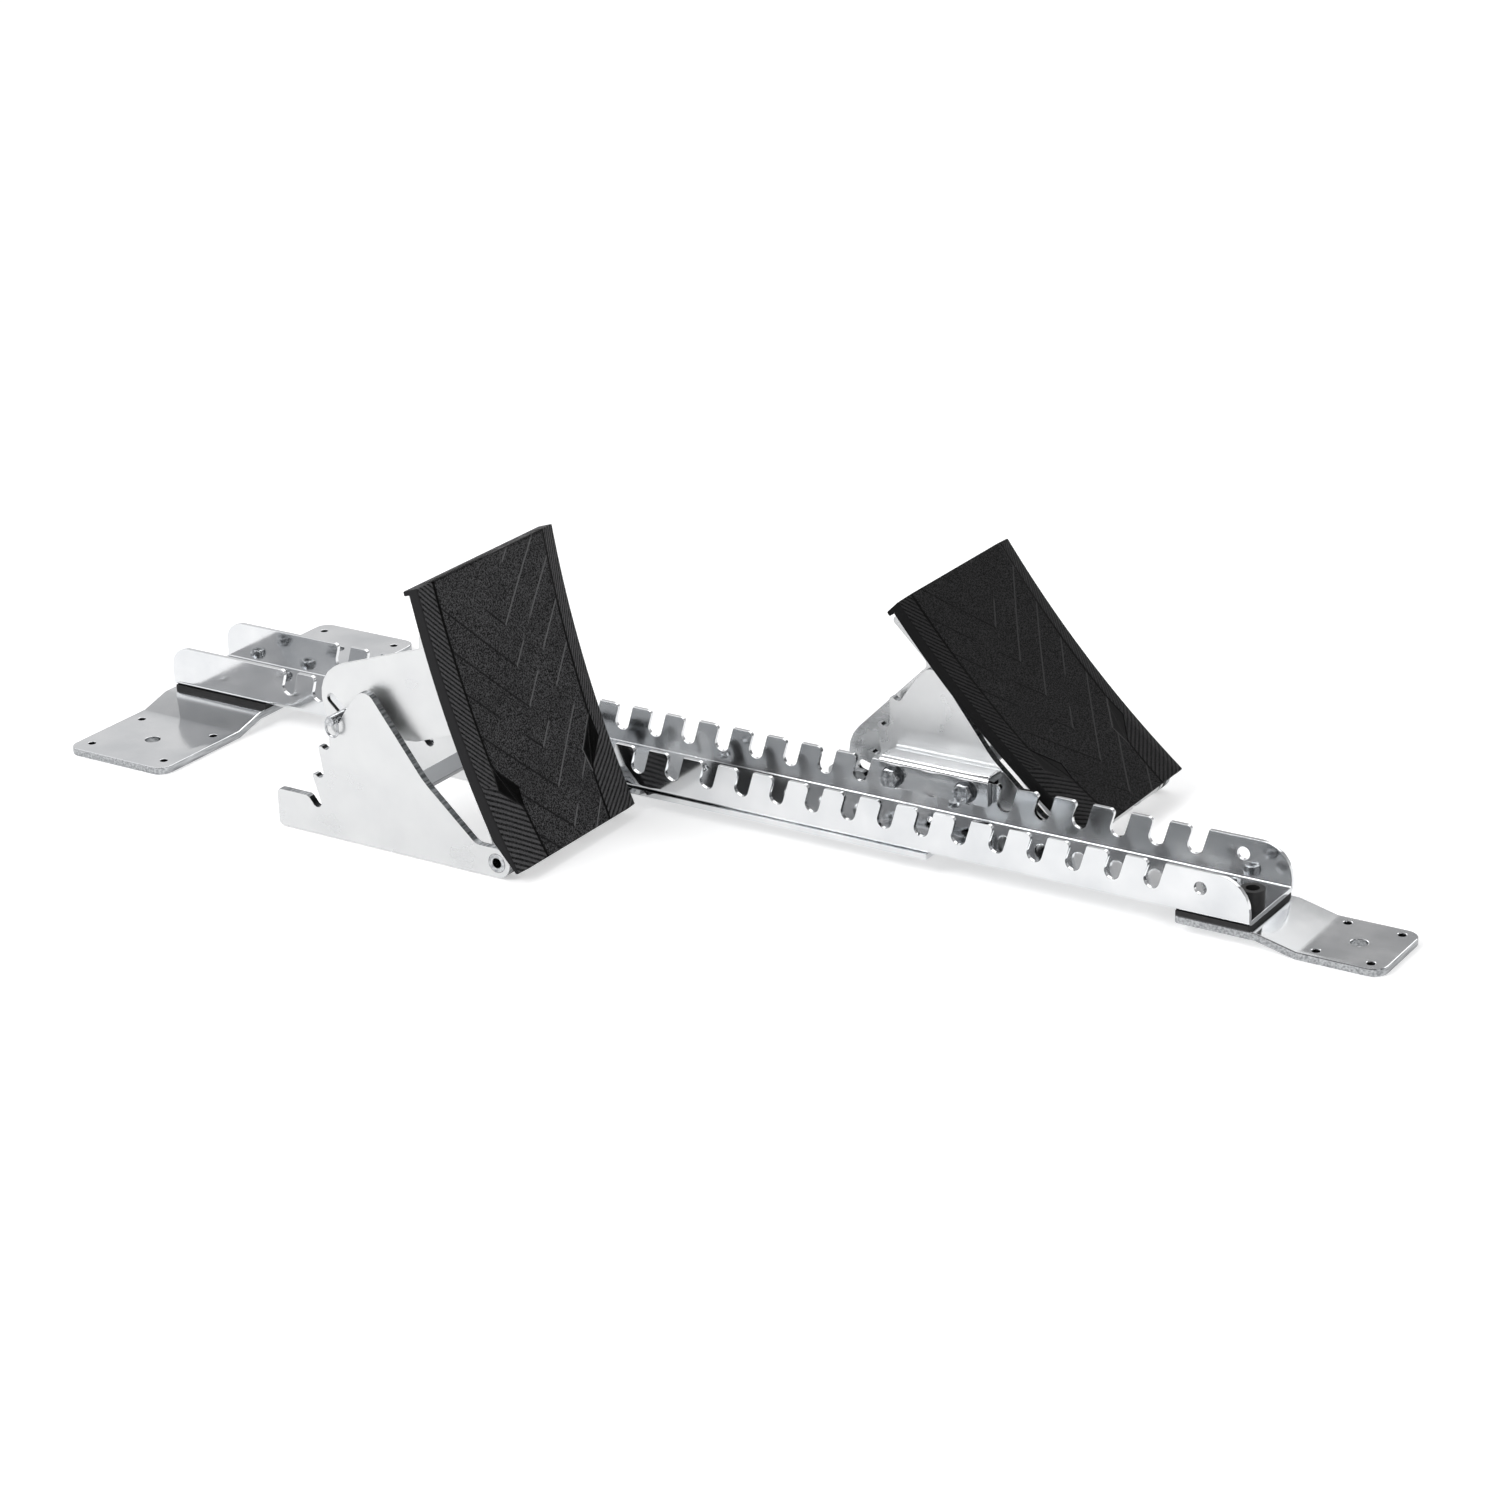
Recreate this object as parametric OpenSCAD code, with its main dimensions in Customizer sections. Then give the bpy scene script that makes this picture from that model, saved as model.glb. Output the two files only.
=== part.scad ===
// Track starting blocks: a notched channel rail on two spiked anchor plates,
// with two mirrored foot blocks whose pedals tilt in steps.
// +X is the running direction, +Z is up, the origin is on the ground at mid-length.

/* [Rail] */
// Distance between neighbouring notches along the rail
pitch = 25.4; // [24:0.1:27]
// Number of notches in each wall
notch_count = 26; // [24:1:28]
// Length of plain wall behind the first notch
rail_rear = 100; // [95:1:125]
// Length of plain wall ahead of the last notch
rail_front = 62; // [55:1:75]
// Outer width of the channel
rail_w = 59.2; // [56:0.2:64]
// Sheet thickness of the channel
rail_t = 3; // [2.5:0.1:3.4]
// Height of the channel walls, outside
rail_h = 27.9; // [26:0.1:32]
// Height of the channel's underside above the ground
rail_z = 13.8; // [13:0.1:16]
// Outer bend radius between floor and wall
rail_bend = 3.5; // [3.4:0.1:5]
// Width of a notch across its sides
notch_w = 10; // [9:0.1:11]
// Depth of a notch below the top of the wall
notch_deep = 17; // [16:0.1:18.5]
// Lean of a notch from vertical, its foot to the rear
notch_lean = 17; // [12:0.5:20]
// Round on the rear shoulder of each notch
notch_round = 3; // [2:0.1:3.2]
// Round on the front top corner of the walls
nose_round = 20; // [14:1:24]
// Round on the rear top corner of the walls
heel_round = 14; // [8:1:20]
// Diameter of the tie hole near the front of each wall
tie_d = 8; // [6:0.1:9]
// Distance of the tie hole from the front end
tie_back = 31; // [28:1:34]

/* [Anchors] */
// Thickness of both anchor plates
plate_t = 5; // [4:0.1:6]
// Thickness of the rubber gaskets under the rail
gasket_t = 3; // [2:0.1:4]
// Length of the rear plate along the rail
wing_len = 82.4; // [76:0.2:90]
// Distance from the rail's middle to each wing tip
wing_reach = 134; // [130:1:145]
// Distance from the rail's middle to the foot of each wing's bend
wing_foot = 58; // [54:1:62]
// Distance from the rail's middle to the top of each wing's bend
wing_top = 36; // [33:1:42]
// How far the rear plate stands out behind the rail
wing_back = 3; // [1:0.5:5]
// Radius of the plates' corners
plate_round = 9; // [4:0.5:12]
// Diameter of the small spike holes
spike_d = 4.8; // [4:0.1:6]
// Diameter of the middle stake holes
stake_d = 10; // [8:0.1:12]
// Spacing of a wing's spike holes along the rail
wing_hole_x = 61.9; // [56:0.1:64]
// Spacing of a wing's spike holes across the rail
wing_hole_y = 48.9; // [44:0.1:52]
// Distance from the rail's middle to the middle of a wing's hole pattern
wing_hole_mid = 96.6; // [94:0.1:98]
// Width of the front plate
toe_w = 58; // [54:0.5:66]
// Overlap of the front plate under the rail
toe_under = 48; // [44:1:56]
// Reach of the front plate ahead of the rail
toe_reach = 81; // [78:1:90]
// Distance from the rail's end to the top of the front plate's bend
toe_bend = 4; // [3:0.5:6]
// Run of the front plate's bend along the rail
toe_ramp = 24.5; // [22:0.5:28]
// Spacing of the front plate's spike holes along the rail
toe_hole_x = 33.4; // [30:0.1:36]
// Spacing of the front plate's spike holes across the rail
toe_hole_y = 43.2; // [38:0.1:45]
// Distance from the front plate's tip to the middle of its hole pattern
toe_hole_back = 26.6; // [26:0.1:28]
// Shank diameter of the anchor screws
screw_d = 6; // [5:0.1:6.5]
// Head diameter of the anchor screws
screw_head_d = 11; // [10:0.1:12]
// Head height of the anchor screws
screw_head_h = 3; // [2.5:0.1:3.6]
// Spacing of the rear anchor screws along the rail
rear_screw_x = 44; // [36:1:50]
// Distance from the rail's rear end to the middle of the rear anchor screws
rear_screw_back = 38; // [36:1:42]
// Distance from the rail's front end to the front anchor screws
front_screw_back = 31; // [26:1:36]
// Spacing of the anchor screws across the rail
screw_y = 28; // [24:1:32]
// Diameter of the post at the front of the channel
post_d = 8; // [7:0.1:9]
// Distance of the post from the rail's front end
post_back = 8; // [8:0.5:12]
// Offset of the post from the rail's middle
post_side = 9; // [5:0.5:11]
// Outer diameter of the post's rubber sleeve
sleeve_d = 14.5; // [13:0.1:16]
// Height of the rubber sleeve above the channel floor
sleeve_h = 12; // [10:0.5:14]

/* [Doubler] */
// Thickness of the doubler strip under the rail
doubler_t = 4; // [3:0.1:5]
// Length of the doubler strip
doubler_len = 376; // [340:1:400]
// Distance from the first notch to the strip's rear end
doubler_start = 110; // [90:1:130]
// Shank diameter of the strip's rivets
rivet_d = 5; // [4:0.1:6]
// Head diameter of the strip's rivets
rivet_head_d = 9; // [8:0.1:11]

/* [Foot blocks] */
// Notch that the rear block's back bolt sits in, counted from 0
rear_notch = 6; // [5:1:7]
// Notch that the front block's back bolt sits in, counted from 0
front_notch = 17; // [14:1:20]
// Distance from the rail's middle to each block's middle
block_y = 99; // [98:0.5:101]
// Thickness of the side plates
side_t = 5; // [4:0.1:5.5]
// Outer width over the two side plates
block_w = 119; // [117:0.5:121]
// Height of the hinge axis above the ground
hinge_z = 10; // [9.8:0.1:11]
// Radius of the boss round the hinge
boss_r = 9.5; // [9:0.1:9.7]
// Distance from the back bolt to the hinge axis
bolt_back = 110; // [108:0.5:112]
// Height of the clamp bolts above the ground
bolt_z = 35.5; // [34:0.1:36]
// Distance from the hinge axis to the tail of the side plates
tail_len = 168; // [164:1:174]
// Height of the tail's top above the hinge axis
tail_h = 15; // [14:0.1:15.4]
// Distance from the hinge axis to the lock pin
lock_r = 137; // [136:0.5:138]
// Height angle of the top station above the hinge
station_a = 31; // [30.5:0.1:31.5]
// Angle of the side plates' peak above the hinge
peak_a = 46; // [45:0.5:47]
// Angle between neighbouring stations
station_step = 8.67; // [8.5:0.01:8.8]
// Number of stations
station_n = 4; // [4:1:4]
// Station of the rear block's lock pin, 1 is the steepest
rear_station = 1; // [1:1:1]
// Station of the front block's lock pin, 1 is the steepest
front_station = 4; // [4:1:4]
// Radial clearance of the lock pin in its cups
cup_gap = 0.25; // [0.2:0.01:0.3]
// Height of the lock pin's middle over the lip of a cup
lip_drop = 2; // [1.9:0.05:2.2]
// Thickness of the lip of a cup
lip_t = 2.2; // [2:0.1:2.3]

/* [Saddle] */
// Length of the saddle along the rail
saddle_len = 76; // [72:1:80]
// Distance from the saddle's rear end to the back bolt
saddle_back = 10; // [10:0.5:12]
// Thickness of the saddle
saddle_t = 5; // [4:0.1:5]
// Clearance between the saddle's inner leg and the wall
saddle_gap = 0.7; // [0.5:0.1:1]
// Drop of the saddle's legs below the bolts
saddle_drop = 7.5; // [7:0.1:8]
// Diameter of the clamp bolts
bolt_d = 6.35; // [6:0.05:7]
// Width across the flats of the bolt heads
bolt_af = 11.1; // [10:0.1:12]
// Height of the bolt heads
bolt_head_h = 4.5; // [4:0.1:5]
// Height of the thin nuts inside the block
nut_h = 3.4; // [3:0.1:3.8]
// Outer diameter of the washers
washer_d = 14.4; // [13:0.1:14.8]
// Thickness of the washers
washer_t = 1.6; // [1.2:0.1:2]
// Clearance of a sleeve in its notch, on the diameter
notch_gap = 0.4; // [0.3:0.05:0.5]
// Radial running clearance of bolts, screws and rivets in their holes
hole_gap = 0.15; // [0.1:0.01:0.2]
// Side of the square cross bar
bar_w = 10; // [8:0.1:11]
// Setback of the cross bar behind the plates' front edge
bar_set = 3.4; // [3.2:0.1:4]

/* [Hinge and lock pin] */
// Outer diameter of the hinge tube
tube_d = 12; // [11:0.1:12.5]
// Bore of the hinge tube
tube_bore = 6.5; // [5:0.1:8]
// Radial running clearance of the hinge tube
tube_gap = 0.08; // [0.05:0.01:0.1]
// Diameter of the lock pin
pin_d = 6.35; // [6.2:0.05:6.4]
// Length of each pin end outside the side plates
pin_out = 5.5; // [5:0.1:6]
// Wire diameter of the rings through the lock pin's ends
ring_wire = 1.6; // [1.2:0.1:1.8]
// Outer width of the rings
ring_w = 10.4; // [10:0.1:12]
// Outer length of the rings
ring_l = 12; // [11:0.5:18]

/* [Pedal] */
// Angle between the pedal's face and the line to the lock pin
lock_a = 40.4; // [40:0.1:40.8]
// Width of the spacers between a side plate and the bracket's flange
spacer_w = 4.5; // [3.5:0.1:5]
// Sheet thickness of the bracket
bracket_t = 3; // [2.5:0.1:3.2]
// Length of the pad from its foot to its top
pad_len = 182; // [180:1:186]
// Distance from the hinge axis down to the pad's foot
pad_foot = 8; // [7:0.5:8]
// Width of the pad at its foot
pad_foot_w = 124; // [122:1:126]
// Width of the pad at its top
pad_top_w = 136.6; // [134:0.2:138]
// Thickness of the pad
pad_t = 9.5; // [8:0.1:10]
// Distance from the hinge axis to the hollow of the pad's face
pad_face = 11.5; // [11:0.1:12]
// Radius of the pad's hollow face
pad_curve = 690; // [600:10:800]
// Height of the hooked lip at the pad's top
hook_h = 3.2; // [2.5:0.1:4]
// Reach of the hooked lip behind the pad
hook_reach = 4; // [3.2:0.1:5]
// Depth of the seams and the insets in the pad
seam_deep = 1.2; // [0.8:0.1:1.5]
// Width of the seams
seam_w = 1.4; // [1:0.1:2]
// Travel of the lock pin in the flange slots
slot_travel = 12.5; // [12.2:0.1:12.8]
// Lean of the slots from the pad's chord
slot_lean = 30; // [29:0.5:32]
// Clearance of the lock pin in the slots, on the diameter
slot_gap = 0.5; // [0.4:0.05:0.6]
// Radius of the flange's rear corner
flange_round = 24; // [20:0.5:26]
// Distance from the hinge axis to the flange's top edge
flange_top = 135; // [133:0.5:137]
// Depth of the narrow flange behind the hinge line
lip_back = 7; // [6:0.1:7.2]
// Height of the lower fixing screws above the hinge axis
pad_screw_low = 38; // [34:1:42]
// Spacing of the pad's fixing screws up the pad
pad_screw_up = 90; // [80:1:96]
// Spacing of the pad's fixing screws across the pad
pad_screw_y = 60; // [52:1:66]
// Diameter of the pad's fixing screws
pad_screw_d = 5; // [4:0.1:6]

/* [Hidden] */
steel = "#c6c9cd";
satin = "#e2e3e5";
dark_steel = "#6b6e72";
rubber = "#2f2f31";
// Margin by which a cutter runs past the face that it opens
over = 1;
// Rail stations
rail_len = rail_rear + (notch_count - 1) * pitch + rail_front;
x_first = rail_rear + wing_back - (rail_len + wing_back + toe_reach) / 2;
x_heel = x_first - rail_rear;
x_nose = x_heel + rail_len;
wall_y = rail_w / 2;
floor_z = rail_z + rail_t;
wall_z = rail_z + rail_h;
notch_r = notch_w / 2;
// Middle of a notch's round foot, above the ground
notch_z = wall_z - notch_deep + notch_r;
// Offset of a notch's middle line at a height
function notch_x(z) = (z - notch_z) * tan(notch_lean);
// Anchors
upper_z = rail_z - gasket_t;
wing_x = x_heel - wing_back;
toe_tip = x_nose + toe_reach;
post_x = x_nose - post_back;
rear_screw_mid = x_heel + rear_screw_back;
front_screw_x = x_nose - front_screw_back;
// Blocks
hinge_rear = x_first + rear_notch * pitch + notch_x(bolt_z) + bolt_back;
hinge_front = x_first + front_notch * pitch + notch_x(bolt_z) + bolt_back;
bolt_gap = 2 * pitch;
half_w = block_w / 2;
plate_in = half_w - side_t;
// Outer width over the bracket's flanges
flange_w = 2 * (plate_in - spacer_w);
bolt_h = bolt_z - hinge_z;
cup_r = pin_d / 2 + cup_gap;
bar_a = 44;
// Rail faces seen from a block's middle plane
near_out = block_y - wall_y;
near_in = near_out + rail_t;
leg_y = near_in + saddle_gap;
function station_angle(k) = station_a - (k - 1) * station_step;
function cup_mid(k) = lock_r * [-cos(station_angle(k)), sin(station_angle(k))];
// Pedal, in its own upright frame: X out of the pad's face, Z up the pad
flange_in = flange_w / 2 - bracket_t;
pin_x = -lock_r * sin(lock_a);
pin_z = lock_r * cos(lock_a);
curve_z = 80;
pad_z0 = -pad_foot;
pad_z1 = pad_len - pad_foot;
web_face = pad_face - pad_t;
web_z0 = 5;
// Height at which the pad's back starts to lean away from the hinge, and its foot's back
relief_z = 14;
relief_x = 14.2;
relief_run = relief_x - (pad_face - pad_t + sag(relief_z));
web_z1 = pad_z1 - hook_h;
slot_r = (pin_d + slot_gap) / 2;
ring_y = half_w + pin_out - 2.2;

// Corner of an outline rounded by an arc of a few chords
function unit(v) = v / norm(v);
function corner(a, b, c, r, n = 6) =
    r == 0 ? [b] :
    let (u = unit(a - b), v = unit(c - b), half = acos(u * v) / 2,
        mid = b + unit(u + v) * r / sin(half),
        p = b + u * r / tan(half), q = b + v * r / tan(half),
        a0 = atan2(p[1] - mid[1], p[0] - mid[0]),
        turn = atan2(q[1] - mid[1], q[0] - mid[0]) - a0,
        sweep = turn > 180 ? turn - 360 : turn < -180 ? turn + 360 : turn)
    [for (i = [0:n]) mid + r * [cos(a0 + sweep * i / n), sin(a0 + sweep * i / n)]];
// Closed outline from [x, y, radius] corners
function rounded(pts) =
    let (n = len(pts))
    [for (i = [0:n - 1])
        each corner([pts[(i + n - 1) % n][0], pts[(i + n - 1) % n][1]],
            [pts[i][0], pts[i][1]],
            [pts[(i + 1) % n][0], pts[(i + 1) % n][1]], pts[i][2])];

// Upright slab: a drawing in X and Z between two values of Y
module slab(y0, y1) {
    translate([0, y1, 0]) rotate([90, 0, 0]) linear_extrude(y1 - y0) children();
}
// Bar along X: a drawing in Y and Z between two values of X
module along(x0, x1) {
    translate([x0, 0, 0]) rotate([90, 0, 90]) linear_extrude(x1 - x0) children();
}
// Round bar along Y
module rod(r, y0, y1) {
    translate([0, y1, 0]) rotate([90, 0, 0]) cylinder(r = r, h = y1 - y0, $fn = 48);
}
module place_rear() {
    translate([hinge_rear, -block_y, hinge_z]) children();
}
module place_front() {
    translate([hinge_front, block_y, hinge_z]) mirror([0, 1, 0]) children();
}
// Swings a pedal piece from upright to its station
module tilted(k) {
    rotate([0, station_angle(k) + lock_a - 90, 0]) children();
}

// Channel section, floor at the bottom
module channel_section() {
    inner = rail_bend - rail_t;
    difference() {
        union() {
            translate([-wall_y, rail_bend]) square([rail_w, rail_h - rail_bend]);
            translate([-wall_y + rail_bend, 0]) square([rail_w - 2 * rail_bend, rail_bend]);
            for (s = [-1, 1])
                translate([s * (wall_y - rail_bend), rail_bend]) circle(r = rail_bend, $fn = 48);
        }
        translate([-wall_y + rail_t, rail_t + inner]) square([rail_w - 2 * rail_t, rail_h]);
        translate([-wall_y + rail_t + inner, rail_t])
            square([rail_w - 2 * rail_t - 2 * inner, inner + over]);
        for (s = [-1, 1])
            translate([s * (wall_y - rail_t - inner), rail_t + inner]) circle(r = inner, $fn = 48);
    }
}
// One leaning notch: round foot, parallel sides and a rounded rear shoulder
module notch() {
    side = notch_r / cos(notch_lean);
    top = wall_z;
    rise = wall_z + over;
    half = (90 - notch_lean) / 2;
    reach = notch_round / tan(half);
    lip = notch_x(top) - side;
    translate([0, notch_z]) circle(r = notch_r, $fn = 48);
    polygon([
        notch_r * [-cos(notch_lean), sin(notch_lean)] + [0, notch_z],
        [notch_x(rise) - side, rise],
        [notch_x(rise) + side, rise],
        notch_r * [cos(notch_lean), -sin(notch_lean)] + [0, notch_z]]);
    difference() {
        polygon([
            [lip - reach, rise],
            [lip - reach, top],
            [lip - reach * sin(notch_lean), top - reach * cos(notch_lean)],
            [lip + 1, top - 1],
            [lip + 1, rise]]);
        translate([lip - reach, top - notch_round]) circle(r = notch_round, $fn = 48);
    }
}
// Side view of the rail with every notch
module rail_side() {
    difference() {
        polygon(rounded([
            [x_heel, rail_z - over, 0],
            [x_nose, rail_z - over, 0],
            [x_nose, wall_z, nose_round],
            [x_heel, wall_z, heel_round]]));
        for (i = [0:notch_count - 1]) translate([x_first + i * pitch, 0]) notch();
    }
}
module rail() {
    color(steel) difference() {
        intersection() {
            translate([0, 0, rail_z]) along(x_heel, x_nose) channel_section();
            slab(-wall_y - over, wall_y + over) rail_side();
        }
        translate([x_nose - tie_back, 0, rail_z + 17.6]) rod(tie_d / 2, -wall_y - over, wall_y + over);
        anchor_holes(screw_d / 2 + hole_gap);
        rivet_holes(rivet_d / 2 + hole_gap);
        translate([post_x, -post_side, rail_z - over])
            cylinder(r = post_d / 2 + hole_gap, h = rail_t + 2 * over, $fn = 32);
    }
}
module anchor_holes(r) {
    rear_screw_spots() translate([0, 0, -over]) cylinder(r = r, h = floor_z + 2 * over, $fn = 32);
    front_screw_spots() translate([0, 0, -over]) cylinder(r = r, h = floor_z + 2 * over, $fn = 32);
}
module rear_screw_spots() {
    for (i = [-1, 1], j = [-1, 1])
        translate([rear_screw_mid + i * rear_screw_x / 2, j * screw_y / 2, 0]) children();
}
module front_screw_spots() {
    for (j = [-1, 1]) translate([front_screw_x, j * screw_y / 2, 0]) children();
}
module rivet_spots() {
    for (i = [0:2], j = [-1, 1])
        translate([x_first + doubler_start + 20 + i * (doubler_len - 40) / 2, j * screw_y / 2, 0])
            children();
}
module rivet_holes(r) {
    rivet_spots() translate([0, 0, rail_z - doubler_t - over])
        cylinder(r = r, h = doubler_t + rail_t + 2 * over, $fn = 32);
}

module rail_doubler() {
    color(satin) difference() {
        translate([x_first + doubler_start, -wall_y, rail_z - doubler_t])
            cube([doubler_len, rail_w, doubler_t]);
        rivet_holes(rivet_d / 2 + hole_gap);
    }
}
// Domed rivets that hold the doubler to the channel floor
module doubler_rivets() {
    color(steel) rivet_spots() {
        translate([0, 0, rail_z - doubler_t - 1])
            cylinder(r = rivet_d / 2, h = doubler_t + rail_t + 1.5, $fn = 32);
        translate([0, 0, floor_z]) cylinder(r1 = rivet_head_d / 2, r2 = rivet_head_d / 3, h = 2, $fn = 32);
        translate([0, 0, rail_z - doubler_t - 1.2])
            cylinder(r = rivet_head_d / 2 - 0.5, h = 1.2, $fn = 32);
    }
}

// End view of the rear plate: flat under the rail, two ramps, two flat wings
module rear_plate_section() {
    fall = upper_z - plate_t;
    nip = plate_t * tan(atan(fall / (wing_foot - wing_top)) / 2);
    polygon([
        [-wing_reach, plate_t], [-wing_foot, plate_t], [-wing_top, upper_z],
        [wing_top, upper_z], [wing_foot, plate_t], [wing_reach, plate_t],
        [wing_reach, 0], [wing_foot - nip, 0], [wing_top - nip, fall],
        [-wing_top + nip, fall], [-wing_foot + nip, 0], [-wing_reach, 0]]);
}
module rear_anchor_plate() {
    color(satin) difference() {
        intersection() {
            along(wing_x, wing_x + wing_len) rear_plate_section();
            translate([0, 0, -over]) linear_extrude(upper_z + 2 * over)
                polygon(rounded([
                    [wing_x, -wing_reach, plate_round],
                    [wing_x + wing_len, -wing_reach, plate_round],
                    [wing_x + wing_len, wing_reach, plate_round],
                    [wing_x, wing_reach, plate_round]]));
        }
        for (s = [-1, 1]) translate([wing_x + wing_len / 2, s * wing_hole_mid, -over]) {
            cylinder(r = stake_d / 2, h = plate_t + 2 * over, $fn = 48);
            for (i = [-1, 1], j = [-1, 1])
                translate([i * wing_hole_x / 2, j * wing_hole_y / 2, 0])
                    cylinder(r = spike_d / 2, h = plate_t + 2 * over, $fn = 32);
        }
        anchor_holes(screw_d / 2 + hole_gap);
    }
}
module rear_anchor_gasket() {
    color(rubber) difference() {
        translate([x_heel + 1, -wall_y + 0.5, upper_z])
            cube([wing_len - wing_back - 2, rail_w - 1, gasket_t]);
        anchor_holes(screw_d / 2 + hole_gap);
    }
}
// Pan head screw, threaded into the plate
module anchor_screw() {
    translate([0, 0, upper_z - plate_t]) cylinder(r = screw_d / 2, h = floor_z - upper_z + plate_t, $fn = 32);
    translate([0, 0, floor_z]) difference() {
        cylinder(r1 = screw_head_d / 2, r2 = screw_head_d / 2 - 1, h = screw_head_h, $fn = 32);
        translate([0, 0, screw_head_h - 1.6]) cylinder(r = 2.4, h = 1.6 + over, $fn = 6);
    }
}
module rear_anchor_screws() {
    color(dark_steel) rear_screw_spots() anchor_screw();
}

module front_plate_section() {
    fall = upper_z - plate_t;
    bend = x_nose + toe_bend;
    foot = bend + toe_ramp;
    nip = plate_t * tan(atan(fall / toe_ramp) / 2);
    polygon([
        [x_nose - toe_under, upper_z], [bend, upper_z], [foot, plate_t], [toe_tip, plate_t],
        [toe_tip, 0], [foot - nip, 0], [bend - nip, fall], [x_nose - toe_under, fall]]);
}
module front_anchor_plate() {
    color(satin) difference() {
        intersection() {
            slab(-toe_w / 2, toe_w / 2) front_plate_section();
            translate([0, 0, -over]) linear_extrude(upper_z + 2 * over)
                polygon(rounded([
                    [x_nose - toe_under, -toe_w / 2, 3],
                    [toe_tip, -toe_w / 2, plate_round],
                    [toe_tip, toe_w / 2, plate_round],
                    [x_nose - toe_under, toe_w / 2, 3]]));
        }
        translate([toe_tip - toe_hole_back, 0, -over]) {
            cylinder(r = stake_d / 2, h = plate_t + 2 * over, $fn = 48);
            for (i = [-1, 1], j = [-1, 1])
                translate([i * toe_hole_x / 2, j * toe_hole_y / 2, 0])
                    cylinder(r = spike_d / 2, h = plate_t + 2 * over, $fn = 32);
        }
        anchor_holes(screw_d / 2 + hole_gap);
    }
}
module front_anchor_gasket() {
    color(rubber) difference() {
        translate([x_nose - toe_under + 1, -toe_w / 2 + 0.5, upper_z])
            cube([toe_under - 2, toe_w - 1, gasket_t]);
        anchor_holes(screw_d / 2 + hole_gap);
        translate([post_x, -post_side, upper_z - over])
            cylinder(r = post_d / 2 + hole_gap, h = gasket_t + 2 * over, $fn = 32);
    }
}
module front_anchor_screws() {
    color(dark_steel) front_screw_spots() anchor_screw();
}
// Stud that stands on the front plate and comes up through the channel floor
module front_post() {
    color(steel) translate([post_x, -post_side, upper_z])
        cylinder(r = post_d / 2, h = floor_z - upper_z + sleeve_h - 5, $fn = 32);
}
module front_post_sleeve() {
    color(rubber) translate([post_x, -post_side, floor_z]) difference() {
        cylinder(r = sleeve_d / 2, h = sleeve_h, $fn = 48);
        translate([0, 0, -over]) cylinder(r = post_d / 2 + 0.1, h = sleeve_h + 2 * over, $fn = 32);
    }
}

// Cup for one station: open upwards, its lip at the rear
function cup(k) =
    let (c = cup_mid(k), end = -180 + asin(lip_drop / cup_r), start = k == 1 ? -station_a : 0)
    concat(
        [for (i = [0:8]) let (a = start + (end - start) * i / 8) c + cup_r * [cos(a), sin(a)]],
        k < station_n ? [
            c + [-cup_r - lip_t + 0.6, -lip_drop],
            c + [-cup_r - lip_t, -lip_drop - 0.9]] :
            [c + [-cup_r - 0.4, -0.6], [c[0] - cup_r - 2.6, tail_h - 1]]);
// Point of the guard arc, on which the raised pin swings clear of the peak
function guard(a) = (lock_r - cup_r) * [-cos(a), sin(a)];
// Side plate outline about the hinge axis
module side_outline() {
    low_cup = cup_mid(station_n);
    polygon(concat(
        rounded([
            [0, 0, 0],
            [0, boss_r, 0],
            [-15, boss_r, 9],
            [-52, 42.5, 60],
            [guard(peak_a)[0], guard(peak_a)[1], 8],
            [guard(peak_a - 4.5)[0], guard(peak_a - 4.5)[1], 0]]),
        [for (a = [peak_a - 7:-2.5:station_a + 1]) guard(a)],
        [for (k = [1:station_n]) each cup(k)],
        rounded([
            [low_cup[0] - cup_r - 4.8, tail_h, 0],
            [-tail_len, tail_h, 3],
            [-tail_len, -boss_r, 3],
            [0, -boss_r, 0]])));
    circle(r = boss_r, $fn = 64);
}
module side_plate(y0) {
    difference() {
        slab(y0, y0 + side_t) side_outline();
        rod(tube_d / 2 + tube_gap, y0 - over, y0 + side_t + over);
    }
}
module bolt_spots() {
    for (i = [0, 1]) translate([-bolt_back + i * bolt_gap, 0, bolt_h]) children();
}
module outer_plate() {
    color(satin) side_plate(-half_w);
}
module inner_plate() {
    color(satin) difference() {
        side_plate(plate_in);
        bolt_spots() rod(bolt_d / 2 + hole_gap, plate_in - over, half_w + over);
    }
}
// Folded saddle that hooks over the rail's wall
module saddle() {
    y0 = half_w;
    y1 = leg_y + saddle_t;
    z0 = bolt_h - saddle_drop;
    z1 = wall_z - hinge_z;
    color(steel) difference() {
        along(-bolt_back - saddle_back, -bolt_back - saddle_back + saddle_len)
            polygon(rounded([
                [y0, z0, 0],
                [y0 + saddle_t, z0, 0],
                [y0 + saddle_t, z1, 0],
                [leg_y, z1, 0],
                [leg_y, z0, 0],
                [y1, z0, 0],
                [y1, z1 + saddle_t, 4],
                [y0, z1 + saddle_t, 4]]));
        bolt_spots() rod(bolt_d / 2 + hole_gap, y0 - over, y1 + over);
    }
}
// Square bar between the side plates, along their front edges
module cross_bar() {
    color(dark_steel) translate([-52, 0, 44.6])
        rotate([0, -bar_a, 0])
            translate([-bar_set - bar_w, -plate_in, -bar_w / 2])
                cube([bar_w, 2 * plate_in, bar_w]);
}
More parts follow.
